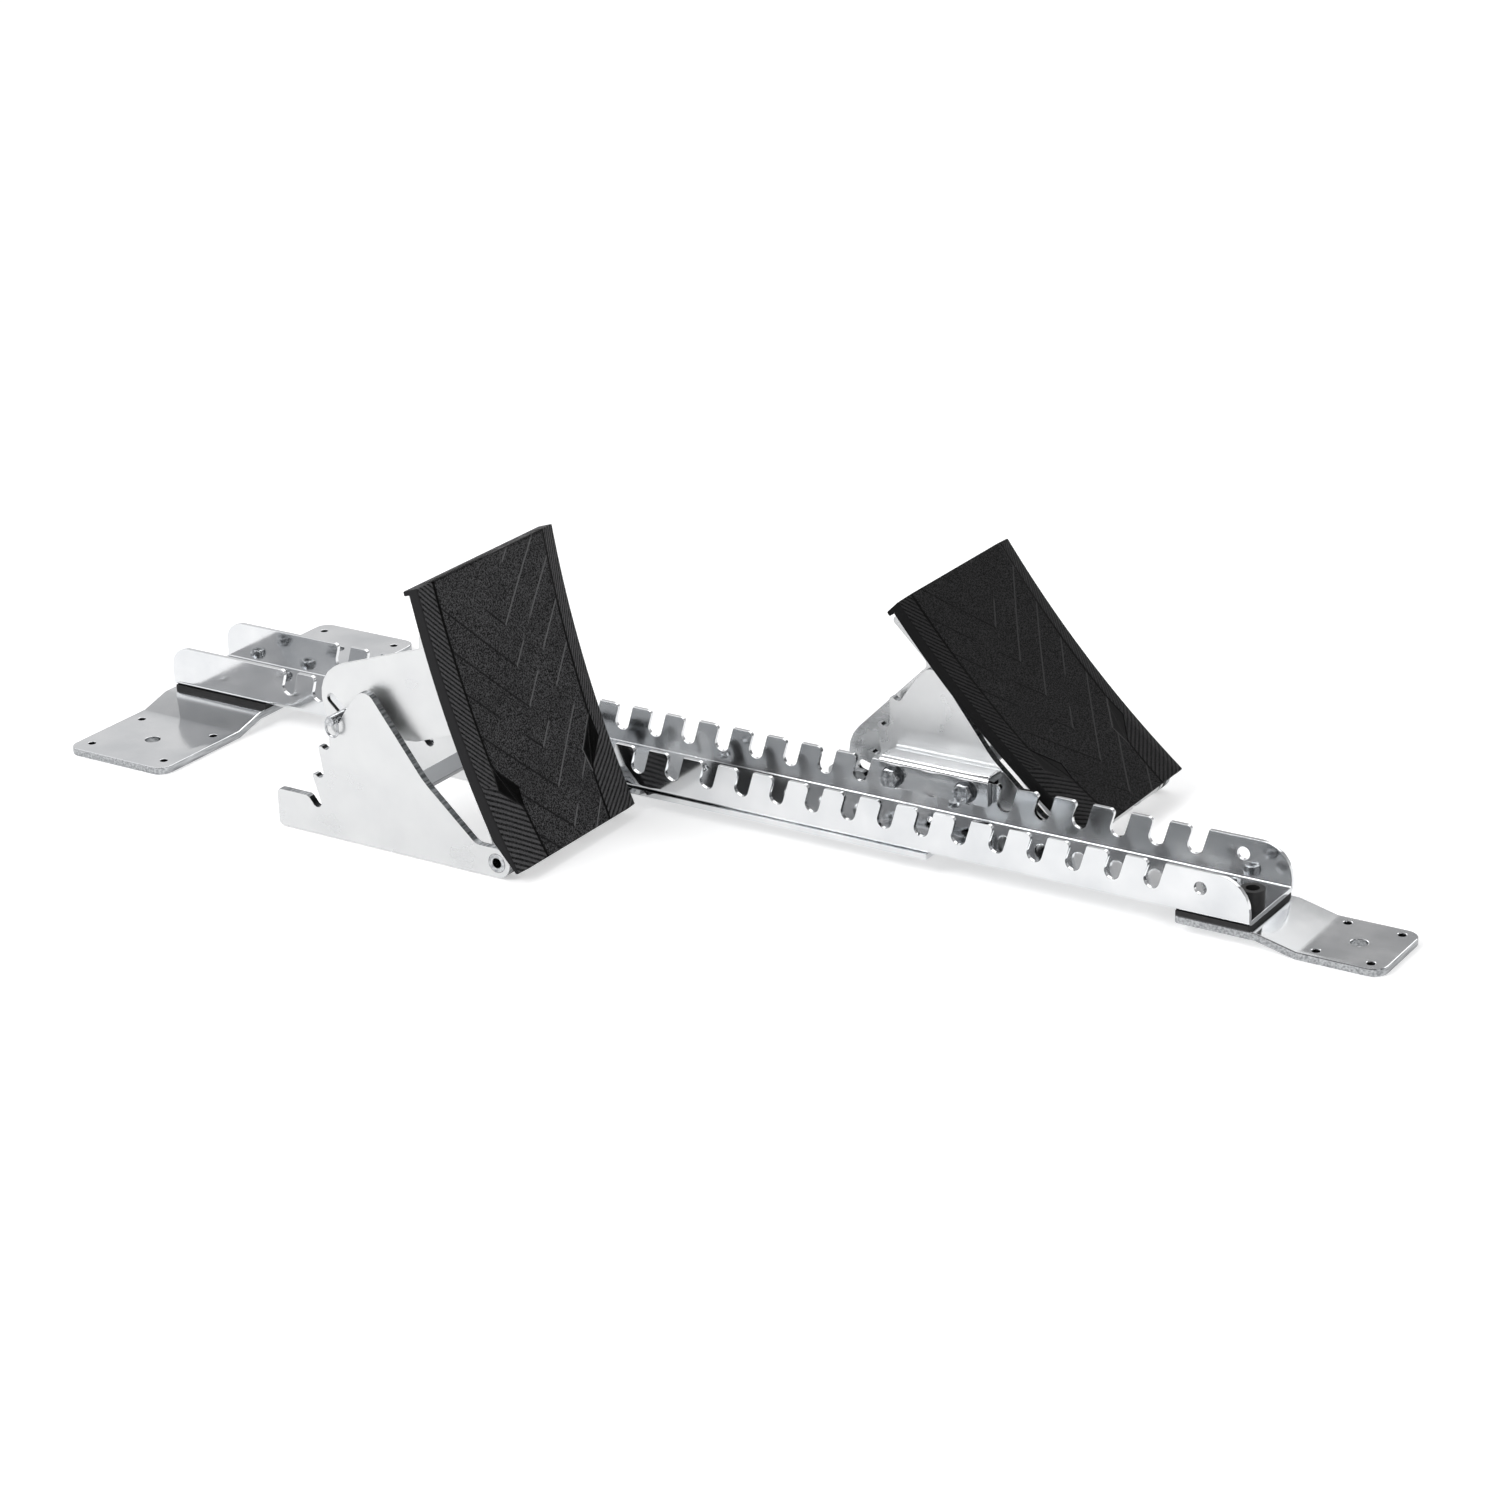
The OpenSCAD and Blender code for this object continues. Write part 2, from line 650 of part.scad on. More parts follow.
// Hexagon bolts with their heads inside the channel
module clamp_bolts() {
    y1 = leg_y + saddle_t + washer_t;
    color(steel) bolt_spots() {
        rod(bolt_d / 2, plate_in - nut_h - 0.3, y1);
        translate([0, y1 + bolt_head_h, 0]) rotate([90, 0, 0])
            cylinder(r = bolt_af / 2 / cos(30), h = bolt_head_h, $fn = 6);
    }
}
module clamp_washers() {
    y0 = leg_y + saddle_t;
    color(dark_steel) bolt_spots() difference() {
        rod(washer_d / 2, y0, y0 + washer_t);
        rod(bolt_d / 2 + hole_gap, y0 - over, y0 + washer_t + over);
    }
}
// Thin hexagon nuts on the inner face of the side plate
module clamp_nuts() {
    color(dark_steel) bolt_spots() difference() {
        translate([0, plate_in, 0]) rotate([90, 0, 0])
            cylinder(r = bolt_af / 2 / cos(30), h = nut_h, $fn = 6);
        rod(bolt_d / 2 + 0.05, plate_in - nut_h - over, plate_in + over);
    }
}
// Sleeves on the bolts that drop into the notches
module notch_sleeves() {
    color(steel) bolt_spots() difference() {
        rod((notch_w - notch_gap) / 2, half_w + saddle_t, leg_y);
        rod(bolt_d / 2 + hole_gap, half_w + saddle_t - over, leg_y + over);
    }
}
module hinge_tube() {
    color(steel) difference() {
        rod(tube_d / 2, -half_w, half_w);
        rod(tube_bore / 2, -half_w - over, half_w + over);
    }
}
module hinge_spacers() {
    color("white") for (s = [-1, 1]) difference() {
        rod(boss_r, s * (flange_w / 2 + plate_in) / 2 - (plate_in - flange_w / 2) / 2 + 0.2,
            s * (flange_w / 2 + plate_in) / 2 + (plate_in - flange_w / 2) / 2 - 0.2);
        rod(tube_d / 2 + tube_gap, s * (flange_w / 2 + plate_in) / 2 - plate_in + flange_w / 2,
            s * (flange_w / 2 + plate_in) / 2 + plate_in - flange_w / 2);
    }
}

// Hollow of the pad's face or a layer behind it, as a disc in X and Z
module curve_disc(depth) {
    translate([pad_face + pad_curve, curve_z]) circle(r = pad_curve + depth, $fn = 720);
}
// Layer that follows the pad's face between two depths
module curved_layer(d0, d1, z0, z1) {
    difference() {
        intersection() {
            translate([-40, z0]) square([80, z1 - z0]);
            curve_disc(d1);
        }
        curve_disc(d0);
    }
}
// Space ahead of the pad's back, which leans away below to clear the hinge
module ahead_of_back(x1) {
    polygon([
        [pad_face - pad_t + sag(relief_z), relief_z],
        [relief_x, pad_z0 - over],
        [x1, pad_z0 - over],
        [x1, relief_z]]);
    intersection() {
        translate([-40, relief_z]) square([x1 + 40, pad_len]);
        curve_disc(pad_t);
    }
}
// Side view of the pedal's flange: narrow lip, gusset with the slot, hinge ear
module flange_outline() {
    difference() {
        union() {
            polygon(rounded([
                [-lip_back - 2, web_z1, 3],
                [-lip_back - 1, flange_top, 4],
                [pin_x - 14.5, flange_top, flange_round],
                [pin_x - 14.5, pin_z - 10.5, 12],
                [pin_x + 14, pin_z - 17, 14],
                [-40, 79.5, 20],
                [-lip_back, 80, 4],
                [-lip_back, 12, 8],
                [-boss_r + 0.5, 3, 0],
                [boss_r - 1, 3, 0],
                [boss_r - 1, 20, 3],
                [30, 40, 0],
                [30, web_z1, 0]]));
            circle(r = boss_r, $fn = 64);
        }
        ahead_of_back(80);
    }
}
module bracket() {
    color(satin) difference() {
        union() {
            for (s = [-1, 1]) slab(s * (flange_w - bracket_t) / 2 - bracket_t / 2,
                s * (flange_w - bracket_t) / 2 + bracket_t / 2) flange_outline();
            slab(-flange_w / 2, flange_w / 2) curved_layer(pad_t, pad_t + bracket_t, web_z0, web_z1);
            for (y = [-1:1]) rod(tube_d / 2 + tube_gap + bracket_t, y * 34 - 12, y * 34 + 12);
        }
        rod(tube_d / 2 + tube_gap, -flange_w, flange_w);
        translate([pin_x, 0, pin_z]) rotate([0, -slot_lean, 0]) {
            for (t = [0, slot_travel]) translate([0, 0, t]) rod(slot_r, -flange_w, flange_w);
            translate([-slot_r, -flange_w, 0]) cube([2 * slot_r, 2 * flange_w, slot_travel]);
        }
        pad_screw_spots() rotate([0, -90, 0])
            translate([0, 0, -30]) cylinder(r = pad_screw_d / 2 + hole_gap, h = 60, $fn = 32);
    }
}
module pad_screw_spots() {
    for (i = [0, 1], j = [-1, 1])
        translate([0, j * pad_screw_y / 2, pad_screw_low + i * pad_screw_up]) children();
}
// Depth of the pad's hollow at a height
function sag(z) = pad_curve - sqrt(pad_curve * pad_curve - (z - curve_z) * (z - curve_z));
// Outline of the pad seen square to its face, drawn in Y and Z
module pad_outline() {
    polygon(rounded([
        [-pad_foot_w / 2, pad_z0, 2],
        [pad_foot_w / 2, pad_z0, 2],
        [pad_top_w / 2, pad_z1, 2],
        [-pad_top_w / 2, pad_z1, 2]]));
}
// Seam along each side, and the lozenge inset where it steps inwards
module seam_plan() {
    for (s = [-1, 1]) {
        polygon([[s * 53.5, pad_z1 + over], [s * (53.5 + seam_w), pad_z1 + over],
            [s * (49.3 + seam_w), 52], [s * 49.3, 52]]);
        polygon([[s * 49, 60], [s * (49 + 3), 48], [s * 38, 24], [s * 33, 28], [s * 37, 44]]);
        polygon([[s * 34.6, 30], [s * (34.6 + seam_w), 30],
            [s * (32 + seam_w), pad_z0 - over], [s * 32, pad_z0 - over]]);
    }
}
module pad() {
    color(rubber) difference() {
        intersection() {
            slab(-pad_top_w, pad_top_w) {
                curved_layer(0, pad_t, pad_z0, pad_z1);
                curved_layer(pad_t - 3, pad_t + hook_reach, pad_z1 - hook_h, pad_z1);
            }
            along(-60, 60) pad_outline();
        }
        intersection() {
            slab(-pad_top_w, pad_top_w) curved_layer(-5, seam_deep, pad_z0 - over, pad_z1 + over);
            along(-60, 60) seam_plan();
        }
        slab(-pad_top_w, pad_top_w) polygon([
            [relief_x - 2 * relief_run, 2 * relief_z - pad_z0 + over],
            [relief_x, pad_z0 - over],
            [-40, pad_z0 - over],
            [-40, 2 * relief_z - pad_z0 + over]]);
        pad_screw_spots() translate([web_face - over * 3, 0, 0]) rotate([0, 90, 0])
            cylinder(r = pad_screw_d / 2 + hole_gap, h = 8.5, $fn = 32);
    }
}
// Screws that hold the pad, heads behind the bracket's web
module pad_screws() {
    color(dark_steel) pad_screw_spots() rotate([0, 90, 0]) {
        translate([0, 0, web_face - bracket_t + 0.4]) cylinder(r = pad_screw_d / 2, h = bracket_t + 5, $fn = 32);
        translate([0, 0, web_face - bracket_t - 1.6]) cylinder(r = pad_screw_d, h = 2, $fn = 32);
    }
}
// Straight pin with a cross hole near each end
module lock_pin(k) {
    color(steel) translate([cup_mid(k)[0], 0, cup_mid(k)[1]]) difference() {
        rod(pin_d / 2, -half_w - pin_out, half_w + pin_out);
        for (s = [-1, 1]) translate([-pin_d, s * ring_y, 0]) rotate([0, 90, 0])
            cylinder(r = ring_wire / 2 + 0.3, h = 2 * pin_d, $fn = 32);
    }
}
// Wire ring: straight top leg through the pin, two sides and a round foot
module wire_ring() {
    wire = ring_wire / 2;
    side = ring_w / 2 - wire;
    bend = 1.9;
    drop = ring_l - 2 * wire - side;
    translate([-side + bend, 0, 0]) rotate([0, 90, 0]) cylinder(r = wire, h = 2 * side - 2 * bend, $fn = 24);
    for (s = [0, 1]) mirror([s, 0, 0]) {
        translate([side - bend, 0, -bend]) rotate([90, 0, 0])
            rotate_extrude(angle = 90, $fn = 48) translate([bend, 0]) circle(r = wire, $fn = 24);
        translate([side, 0, -drop]) cylinder(r = wire, h = drop - bend, $fn = 24);
    }
    translate([0, 0, -drop]) rotate([-90, 0, 0])
        rotate_extrude(angle = 180, $fn = 48) translate([side, 0]) circle(r = wire, $fn = 24);
}
module lock_pin_rings(k) {
    color(steel) translate([cup_mid(k)[0], 0, cup_mid(k)[1]])
        for (s = [-1, 1]) translate([0, s * ring_y, 0]) wire_ring();
}

rail();
rail_doubler();
doubler_rivets();
rear_anchor_plate();
rear_anchor_gasket();
rear_anchor_screws();
front_anchor_plate();
front_anchor_gasket();
front_anchor_screws();
front_post();
front_post_sleeve();
place_rear() outer_plate();  // rear_outer_plate
place_rear() inner_plate();  // rear_inner_plate
place_rear() saddle();  // rear_saddle
place_rear() cross_bar();  // rear_cross_bar
place_rear() clamp_bolts();  // rear_clamp_bolts
place_rear() clamp_washers();  // rear_clamp_washers
place_rear() clamp_nuts();  // rear_clamp_nuts
place_rear() notch_sleeves();  // rear_notch_sleeves
place_rear() hinge_tube();  // rear_hinge_tube
place_rear() hinge_spacers();  // rear_hinge_spacers
place_rear() tilted(rear_station) bracket();  // rear_pedal_bracket
place_rear() tilted(rear_station) pad();  // rear_pad
place_rear() tilted(rear_station) pad_screws();  // rear_pad_screws
place_rear() lock_pin(rear_station);  // rear_lock_pin
place_rear() lock_pin_rings(rear_station);  // rear_lock_pin_rings
place_front() outer_plate();  // front_outer_plate
place_front() inner_plate();  // front_inner_plate
place_front() saddle();  // front_saddle
place_front() cross_bar();  // front_cross_bar
place_front() clamp_bolts();  // front_clamp_bolts
place_front() clamp_washers();  // front_clamp_washers
place_front() clamp_nuts();  // front_clamp_nuts
place_front() notch_sleeves();  // front_notch_sleeves
place_front() hinge_tube();  // front_hinge_tube
place_front() hinge_spacers();  // front_hinge_spacers
place_front() tilted(front_station) bracket();  // front_pedal_bracket
place_front() tilted(front_station) pad();  // front_pad
place_front() tilted(front_station) pad_screws();  // front_pad_screws
place_front() lock_pin(front_station);  // front_lock_pin
place_front() lock_pin_rings(front_station);  // front_lock_pin_rings
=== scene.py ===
"""Studio scene of a set of sprint starting blocks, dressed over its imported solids."""

import logging
import math
from collections.abc import Callable
from dataclasses import dataclass, field
from enum import Enum
from typing import Any

import bpy
from mathutils import Matrix, Vector
from mathutils.bvhtree import BVHTree

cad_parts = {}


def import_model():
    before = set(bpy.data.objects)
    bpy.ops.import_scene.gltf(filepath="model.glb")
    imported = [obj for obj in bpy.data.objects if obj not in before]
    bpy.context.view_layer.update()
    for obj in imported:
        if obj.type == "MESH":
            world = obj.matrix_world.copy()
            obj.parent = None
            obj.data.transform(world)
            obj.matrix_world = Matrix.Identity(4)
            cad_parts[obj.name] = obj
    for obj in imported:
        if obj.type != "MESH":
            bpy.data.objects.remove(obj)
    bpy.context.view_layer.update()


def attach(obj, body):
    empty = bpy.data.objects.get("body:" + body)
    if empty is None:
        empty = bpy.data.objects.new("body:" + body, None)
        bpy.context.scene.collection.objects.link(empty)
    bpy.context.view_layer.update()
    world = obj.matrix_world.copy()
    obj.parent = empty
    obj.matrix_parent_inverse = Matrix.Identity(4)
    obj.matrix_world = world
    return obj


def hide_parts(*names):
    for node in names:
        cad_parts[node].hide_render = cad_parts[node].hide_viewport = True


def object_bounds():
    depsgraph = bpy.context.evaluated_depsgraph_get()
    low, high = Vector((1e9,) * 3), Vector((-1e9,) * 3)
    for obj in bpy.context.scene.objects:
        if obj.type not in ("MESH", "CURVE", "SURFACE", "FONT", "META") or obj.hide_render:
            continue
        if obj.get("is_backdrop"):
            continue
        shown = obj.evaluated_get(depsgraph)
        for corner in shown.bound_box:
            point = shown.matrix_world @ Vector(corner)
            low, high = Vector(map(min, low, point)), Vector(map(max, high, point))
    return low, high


LOG = logging.getLogger("starting_blocks")
MM = 0.001
# The pedal treads' own texture map.
PLAN_MAP = "plan"
# Turns in degrees: the least that gets a round, the least that shows as a crease where nothing
# else is said, and the most that counts as flat.
SHARP = 35.0
CREASE = 32.0
FLAT = 0.4
# Corners nearer than this, in millimetres, are one.
WELD = 0.002


def linear(colour: str) -> tuple[float, float, float, float]:
    """Turns an sRGB hex colour into linear light.

    Args:
        colour: Six hex digits with a leading hash.

    Returns:
        Red, green, blue and an alpha of one.
    """
    parts = [int(colour[i : i + 2], 16) / 255 for i in (1, 3, 5)]
    light = [p / 12.92 if p <= 0.04045 else ((p + 0.055) / 1.055) ** 2.4 for p in parts]
    return (light[0], light[1], light[2], 1.0)


def scale_of(size: float) -> float:
    """Texture scale at which a pattern's features have a size in millimetres."""
    return 1.0 / (size * MM)


def feed(tree: bpy.types.NodeTree, node: bpy.types.Node, inputs: dict[Any, Any]) -> None:
    """Wires sockets to a node's inputs, and sets those that get a value.

    Args:
        tree: The node's tree.
        node: The node.
        inputs: A value or an output socket for each named or numbered input.
    """
    for name, value in inputs.items():
        if isinstance(value, bpy.types.NodeSocket):
            tree.links.new(value, node.inputs[name])
        else:
            node.inputs[name].default_value = value


def add_node(
    tree: bpy.types.NodeTree,
    kind: str,
    settings: dict[str, Any] | None = None,
    inputs: dict[Any, Any] | None = None,
) -> bpy.types.Node:
    """Adds a node, sets it up and wires what feeds it.

    Args:
        tree: The node tree that gets the node.
        kind: The node's type name without its ShaderNode prefix.
        settings: Properties of the node itself.
        inputs: A value or an output socket for each named or numbered input.

    Returns:
        The new node.
    """
    node = tree.nodes.new("ShaderNode" + kind)
    for name, value in (settings or {}).items():
        setattr(node, name, value)
    feed(tree, node, inputs or {})
    return node


def math_node(tree: bpy.types.NodeTree, operation: str, *values: Any) -> bpy.types.NodeSocket:
    """Adds a Math node and returns its result.

    Args:
        tree: The node tree.
        operation: The Math node's operation.
        *values: Numbers or sockets, one for each input in turn.

    Returns:
        The result's socket.
    """
    node = add_node(tree, "Math", {"operation": operation}, dict(enumerate(values)))
    return node.outputs[0]


def ramp(
    tree: bpy.types.NodeTree,
    factor: bpy.types.NodeSocket,
    low: float,
    high: float,
    to_low: float = 0.0,
    to_high: float = 1.0,
) -> bpy.types.NodeSocket:
    """Maps a value from one range to another, held at both ends.

    Args:
        tree: The node tree.
        factor: The value to map.
        low: Where the input range starts.
        high: Where the input range ends.
        to_low: The output at the start.
        to_high: The output at the end.

    Returns:
        The mapped value's socket.
    """
    node = add_node(
        tree,
        "MapRange",
        {"clamp": True},
        {0: factor, 1: low, 2: high, 3: to_low, 4: to_high},
    )
    return node.outputs[0]


def mix_colour(
    tree: bpy.types.NodeTree, factor: Any, first: Any, second: Any
) -> bpy.types.NodeSocket:
    """Blends two colours by a factor and returns the blend's socket."""
    node = add_node(tree, "Mix", {"data_type": "RGBA"}, {0: factor, 6: first, 7: second})
    return node.outputs[2]


def mix_value(
    tree: bpy.types.NodeTree, factor: Any, first: Any, second: Any
) -> bpy.types.NodeSocket:
    """Blends two numbers by a factor and returns the blend's socket."""
    node = add_node(tree, "Mix", {"data_type": "FLOAT"}, {0: factor, 2: first, 3: second})
    return node.outputs[0]


def noise(
    tree: bpy.types.NodeTree,
    place: bpy.types.NodeSocket,
    size: float | tuple[float, float, float],
    detail: float = 2.0,
    roughness: float = 0.5,
) -> bpy.types.NodeSocket:
    """Adds a noise over a place in metres.

    Args:
        tree: The node tree.
        place: The place's socket.
        size: Size of its features in millimetres, the same all ways or one for each axis.
        detail: How many finer layers it has.
        roughness: How strong they are.

    Returns:
        The noise's socket.
    """
    scale = 1.0
    if isinstance(size, tuple):
        scales = tuple(scale_of(part) for part in size)
        place = add_node(tree, "Mapping", None, {"Vector": place, "Scale": scales}).outputs[0]
    else:
        scale = scale_of(size)
    inputs = {"Vector": place, "Scale": scale, "Detail": detail, "Roughness": roughness}
    return add_node(tree, "TexNoise", None, inputs).outputs[0]


def bump(
    tree: bpy.types.NodeTree,
    height: bpy.types.NodeSocket,
    strength: float,
    depth: float,
    over: bpy.types.NodeSocket | None = None,
) -> bpy.types.NodeSocket:
    """Adds a bump.

    Args:
        tree: The node tree.
        height: The height's socket.
        strength: How much of the bump shows.
        depth: How deep a height of one is, in millimetres.
        over: The normal that it lies on, if that isn't the surface's own.

    Returns:
        The bent normal's socket.
    """
    inputs = {"Height": height, "Strength": strength, "Distance": depth * MM}
    if over is not None:
        inputs["Normal"] = over
    return add_node(tree, "Bump", None, inputs).outputs[0]


class Sheen(Enum):
    """How a plated sheet comes out of its bath: the colour of its clouds and its roughness."""

    MIRROR = ("#D4D6D8", 0.08, 0.13)
    SATIN = ("#CFD0D1", 0.26, 0.36)


class CutEdge(Enum):
    """Which faces of a plate are its cut edges: the axis that its broad faces look along."""

    NONE = -1
    UPRIGHT = 1
    LYING = 2


class TreadTone(Enum):
    """The blacks and greys of a moulded tread."""

    GLOSS_BLACK = "#050505"
    # The lighter flecks vary the tone at random and also stand in for light on the pebble tips.
    GRAIN_TIP = "#555556"
    DUST = "#222223"
    # GROOVE is painted shade in the rib grooves and RIB_TOP painted light on the rib tops.
    GROOVE = "#080808"
    RIB_TOP = "#5C5C5D"
    # The raised lines: painted shade on one side, a painted highlight on the other.
    SHADED_LINE = "#101011"
    SCUFFED_LINE = "#6E6E6F"
    # Painted shade in the seam's groove.
    SEAM = "#020202"
    # A painted highlight on the inset's rim, on the lit side.
    SCUFFED_RIM = "#7A7A7B"
    SIDE_WALL = "#2A2A2B"

    @property
    def light(self) -> tuple[float, float, float, float]:
        """The tone in linear light."""
        return linear(self.value)


@dataclass(frozen=True)
class Finish:
    """A finish of the set, with the tree that draws it.

    Attributes:
        title: The material's name.
    """

    title: str

    def begin(self) -> tuple[bpy.types.Material, bpy.types.NodeTree, bpy.types.Node]:
        """Starts an empty material.

        Returns:
            The material, its tree and its Principled shader.
        """
        material = bpy.data.materials.new(self.title)
        material.use_nodes = True
        tree = material.node_tree
        tree.nodes.clear()
        shader = add_node(tree, "BsdfPrincipled")
        add_node(tree, "OutputMaterial", None, {"Surface": shader.outputs[0]})
        return material, tree, shader

    def material(self) -> bpy.types.Material:
        """Builds the material.

        Returns:
            The finished material.

        Raises:
            NotImplementedError: Each kind of finish says how it is drawn.
        """
        raise NotImplementedError


@dataclass(frozen=True)
class ZincPlate(Finish):
    """Bright electroplated zinc on rolled steel sheet.

    The bath leaves a thin glassy metal skin, so the sheet mirrors the room, a little bent by the
    roll's waves, with fine handling scratches and faint clouds where it was rinsed. Where the
    sheet was cut, the edge under the plating is rougher and takes less shine.

    Attributes:
        colour: The metal's colour.
        sheen: How bright the plating is.
        cut_edge: Which faces are the plate's cut edge.
        torn: The cut edge's darker colour, where the blade tore it.
        sheared: Its lighter colour, where the blade cut it clean.
        cloud: Size of the clouds left by the rinse, in millimetres.
        wave: Length of the roll's waves, in millimetres.
        hair: Size of the handling scratches along each axis, in millimetres.
        shear: Size of the streaks on a cut edge along each axis, in millimetres.
    """

    colour: str = "#E4E5E6"
    sheen: Sheen = Sheen.MIRROR
    cut_edge: CutEdge = CutEdge.NONE
    torn: str = "#66686A"
    sheared: str = "#A6A8AA"
    cloud: float = 33.33
    wave: float = 111.1
    hair: tuple[float, float, float] = (25.0, 1.111, 1.111)
    shear: tuple[float, float, float] = (1.429, 16.67, 1.429)

    def material(self) -> bpy.types.Material:
        """Builds the material.

        Returns:
            The finished material.
        """
        material, tree, shader = self.begin()
        coords = add_node(tree, "TexCoord")
        place = coords.outputs["Object"]
        cloud = noise(tree, place, self.cloud, 3.0)
        hair = noise(tree, place, self.hair, 3.0, 0.7)
        wave = noise(tree, place, self.wave, 1.0)
        dull, smoothest, roughest = self.sheen.value
        base = mix_colour(tree, ramp(tree, cloud, 0.3, 0.7), linear(dull), linear(self.colour))
        rough = math_node(
            tree,
            "ADD",
            ramp(tree, cloud, 0.35, 0.7, smoothest, roughest),
            ramp(tree, hair, 0.55, 0.8, 0.0, 0.05),
        )
        if self.cut_edge is not CutEdge.NONE:
            split = add_node(tree, "SeparateXYZ", None, {0: coords.outputs["Normal"]})
            facing = math_node(tree, "ABSOLUTE", split.outputs[self.cut_edge.value])
            edge = ramp(tree, facing, 0.45, 0.8, 1.0, 0.0)
            streak = ramp(tree, noise(tree, place, self.shear), 0.35, 0.65)
            cut = mix_colour(tree, streak, linear(self.torn), linear(self.sheared))
            base = mix_colour(tree, edge, base, cut)
            rough = math_node(tree, "MULTIPLY_ADD", edge, 0.12, rough)
        bent = bump(tree, wave, 0.12, 0.6)
        scratched = bump(tree, hair, 0.04, 0.03, bent)
        feed(
            tree,
            shader,
            {"Base Color": base, "Roughness": rough, "Normal": scratched, "Metallic": 1.0},
        )
        return material


@dataclass(frozen=True)
class PlatedFastener(Finish):
    """Barrel-plated steel of bolts, rivets and pins.

    Tumbling in the barrel leaves soft bright edges and a slightly grey, uneven gloss.

    Attributes:
        colour: The metal's colour.
        speck: The colour of its duller specks.
        roughness: Its mean roughness.
        grain: Size of the specks, in millimetres.
    """

    colour: str = "#CDCFD1"
    speck: str = "#96989B"
    roughness: float = 0.2
    grain: float = 2.381

    def material(self) -> bpy.types.Material:
        """Builds the material.

        Returns:
            The finished material.
        """
        material, tree, shader = self.begin()
        place = add_node(tree, "TexCoord").outputs["Object"]
        speck = noise(tree, place, self.grain, 4.0)
        tone = ramp(tree, speck, 0.35, 0.65)
        base = mix_colour(tree, tone, linear(self.speck), linear(self.colour))
        rough = ramp(tree, speck, 0.3, 0.7, self.roughness - 0.08, self.roughness + 0.1)
        dented = bump(tree, speck, 0.05, 0.1)
        feed(
            tree,
            shader,
            {"Base Color": base, "Roughness": rough, "Normal": dented, "Metallic": 1.0},
        )
        return material


@dataclass(frozen=True)
class DarkBar(Finish):
    """Cold-drawn bar with a thin dark phosphate coat, with painted light on its upward faces.

    Attributes:
        colour: The coat's colour.
        dark: Its colour in the drawing lines.
        top_highlight: The lighter colour of its upward faces, painted light from above.
        line: Size of the drawing lines along each axis, in millimetres.
    """

    colour: str = "#8C8E91"
    dark: str = "#6A6C6F"
    top_highlight: str = "#D8DADC"
    line: tuple[float, float, float] = (1.111, 25.0, 1.111)

    def material(self) -> bpy.types.Material:
        """Builds the material.

        Returns:
            The finished material.
        """
        material, tree, shader = self.begin()
        coords = add_node(tree, "TexCoord")
        line = noise(tree, coords.outputs["Object"], self.line)
        base = mix_colour(
            tree, ramp(tree, line, 0.3, 0.7), linear(self.dark), linear(self.colour)
        )
        # Upward faces are painted lighter, as light falling from above.
        upward = add_node(tree, "SeparateXYZ", None, {0: coords.outputs["Normal"]}).outputs[2]
        base = mix_colour(tree, ramp(tree, upward, 0.3, 0.6), base, linear(self.top_highlight))
        lined = bump(tree, line, 0.15, 0.1)
        feed(
            tree,
            shader,
            {"Base Color": base, "Roughness": 0.42, "Normal": lined, "Metallic": 0.85},
        )
        return material


@dataclass(frozen=True)
class PlainRubber(Finish):
    """Moulded black rubber of gaskets and sleeves: matt, with a soft dusty bloom.

    Attributes:
        colour: The rubber's colour.
        dusty: Its colour under the bloom.
        bloom: Size of the bloom's patches, in millimetres.
    """

    colour: str = "#0C0C0D"
    dusty: str = "#1D1D1E"
    bloom: float = 3.846

    def material(self) -> bpy.types.Material:
        """Builds the material.

        Returns:
            The finished material.
        """
        material, tree, shader = self.begin()
        place = add_node(tree, "TexCoord").outputs["Object"]
        bloom = noise(tree, place, self.bloom, 5.0)
        base = mix_colour(
            tree, ramp(tree, bloom, 0.4, 0.8), linear(self.colour), linear(self.dusty)
        )
        uneven = bump(tree, bloom, 0.2, 0.2)
        feed(tree, shader, {"Base Color": base, "Roughness": 0.62, "Normal": uneven})
        return material


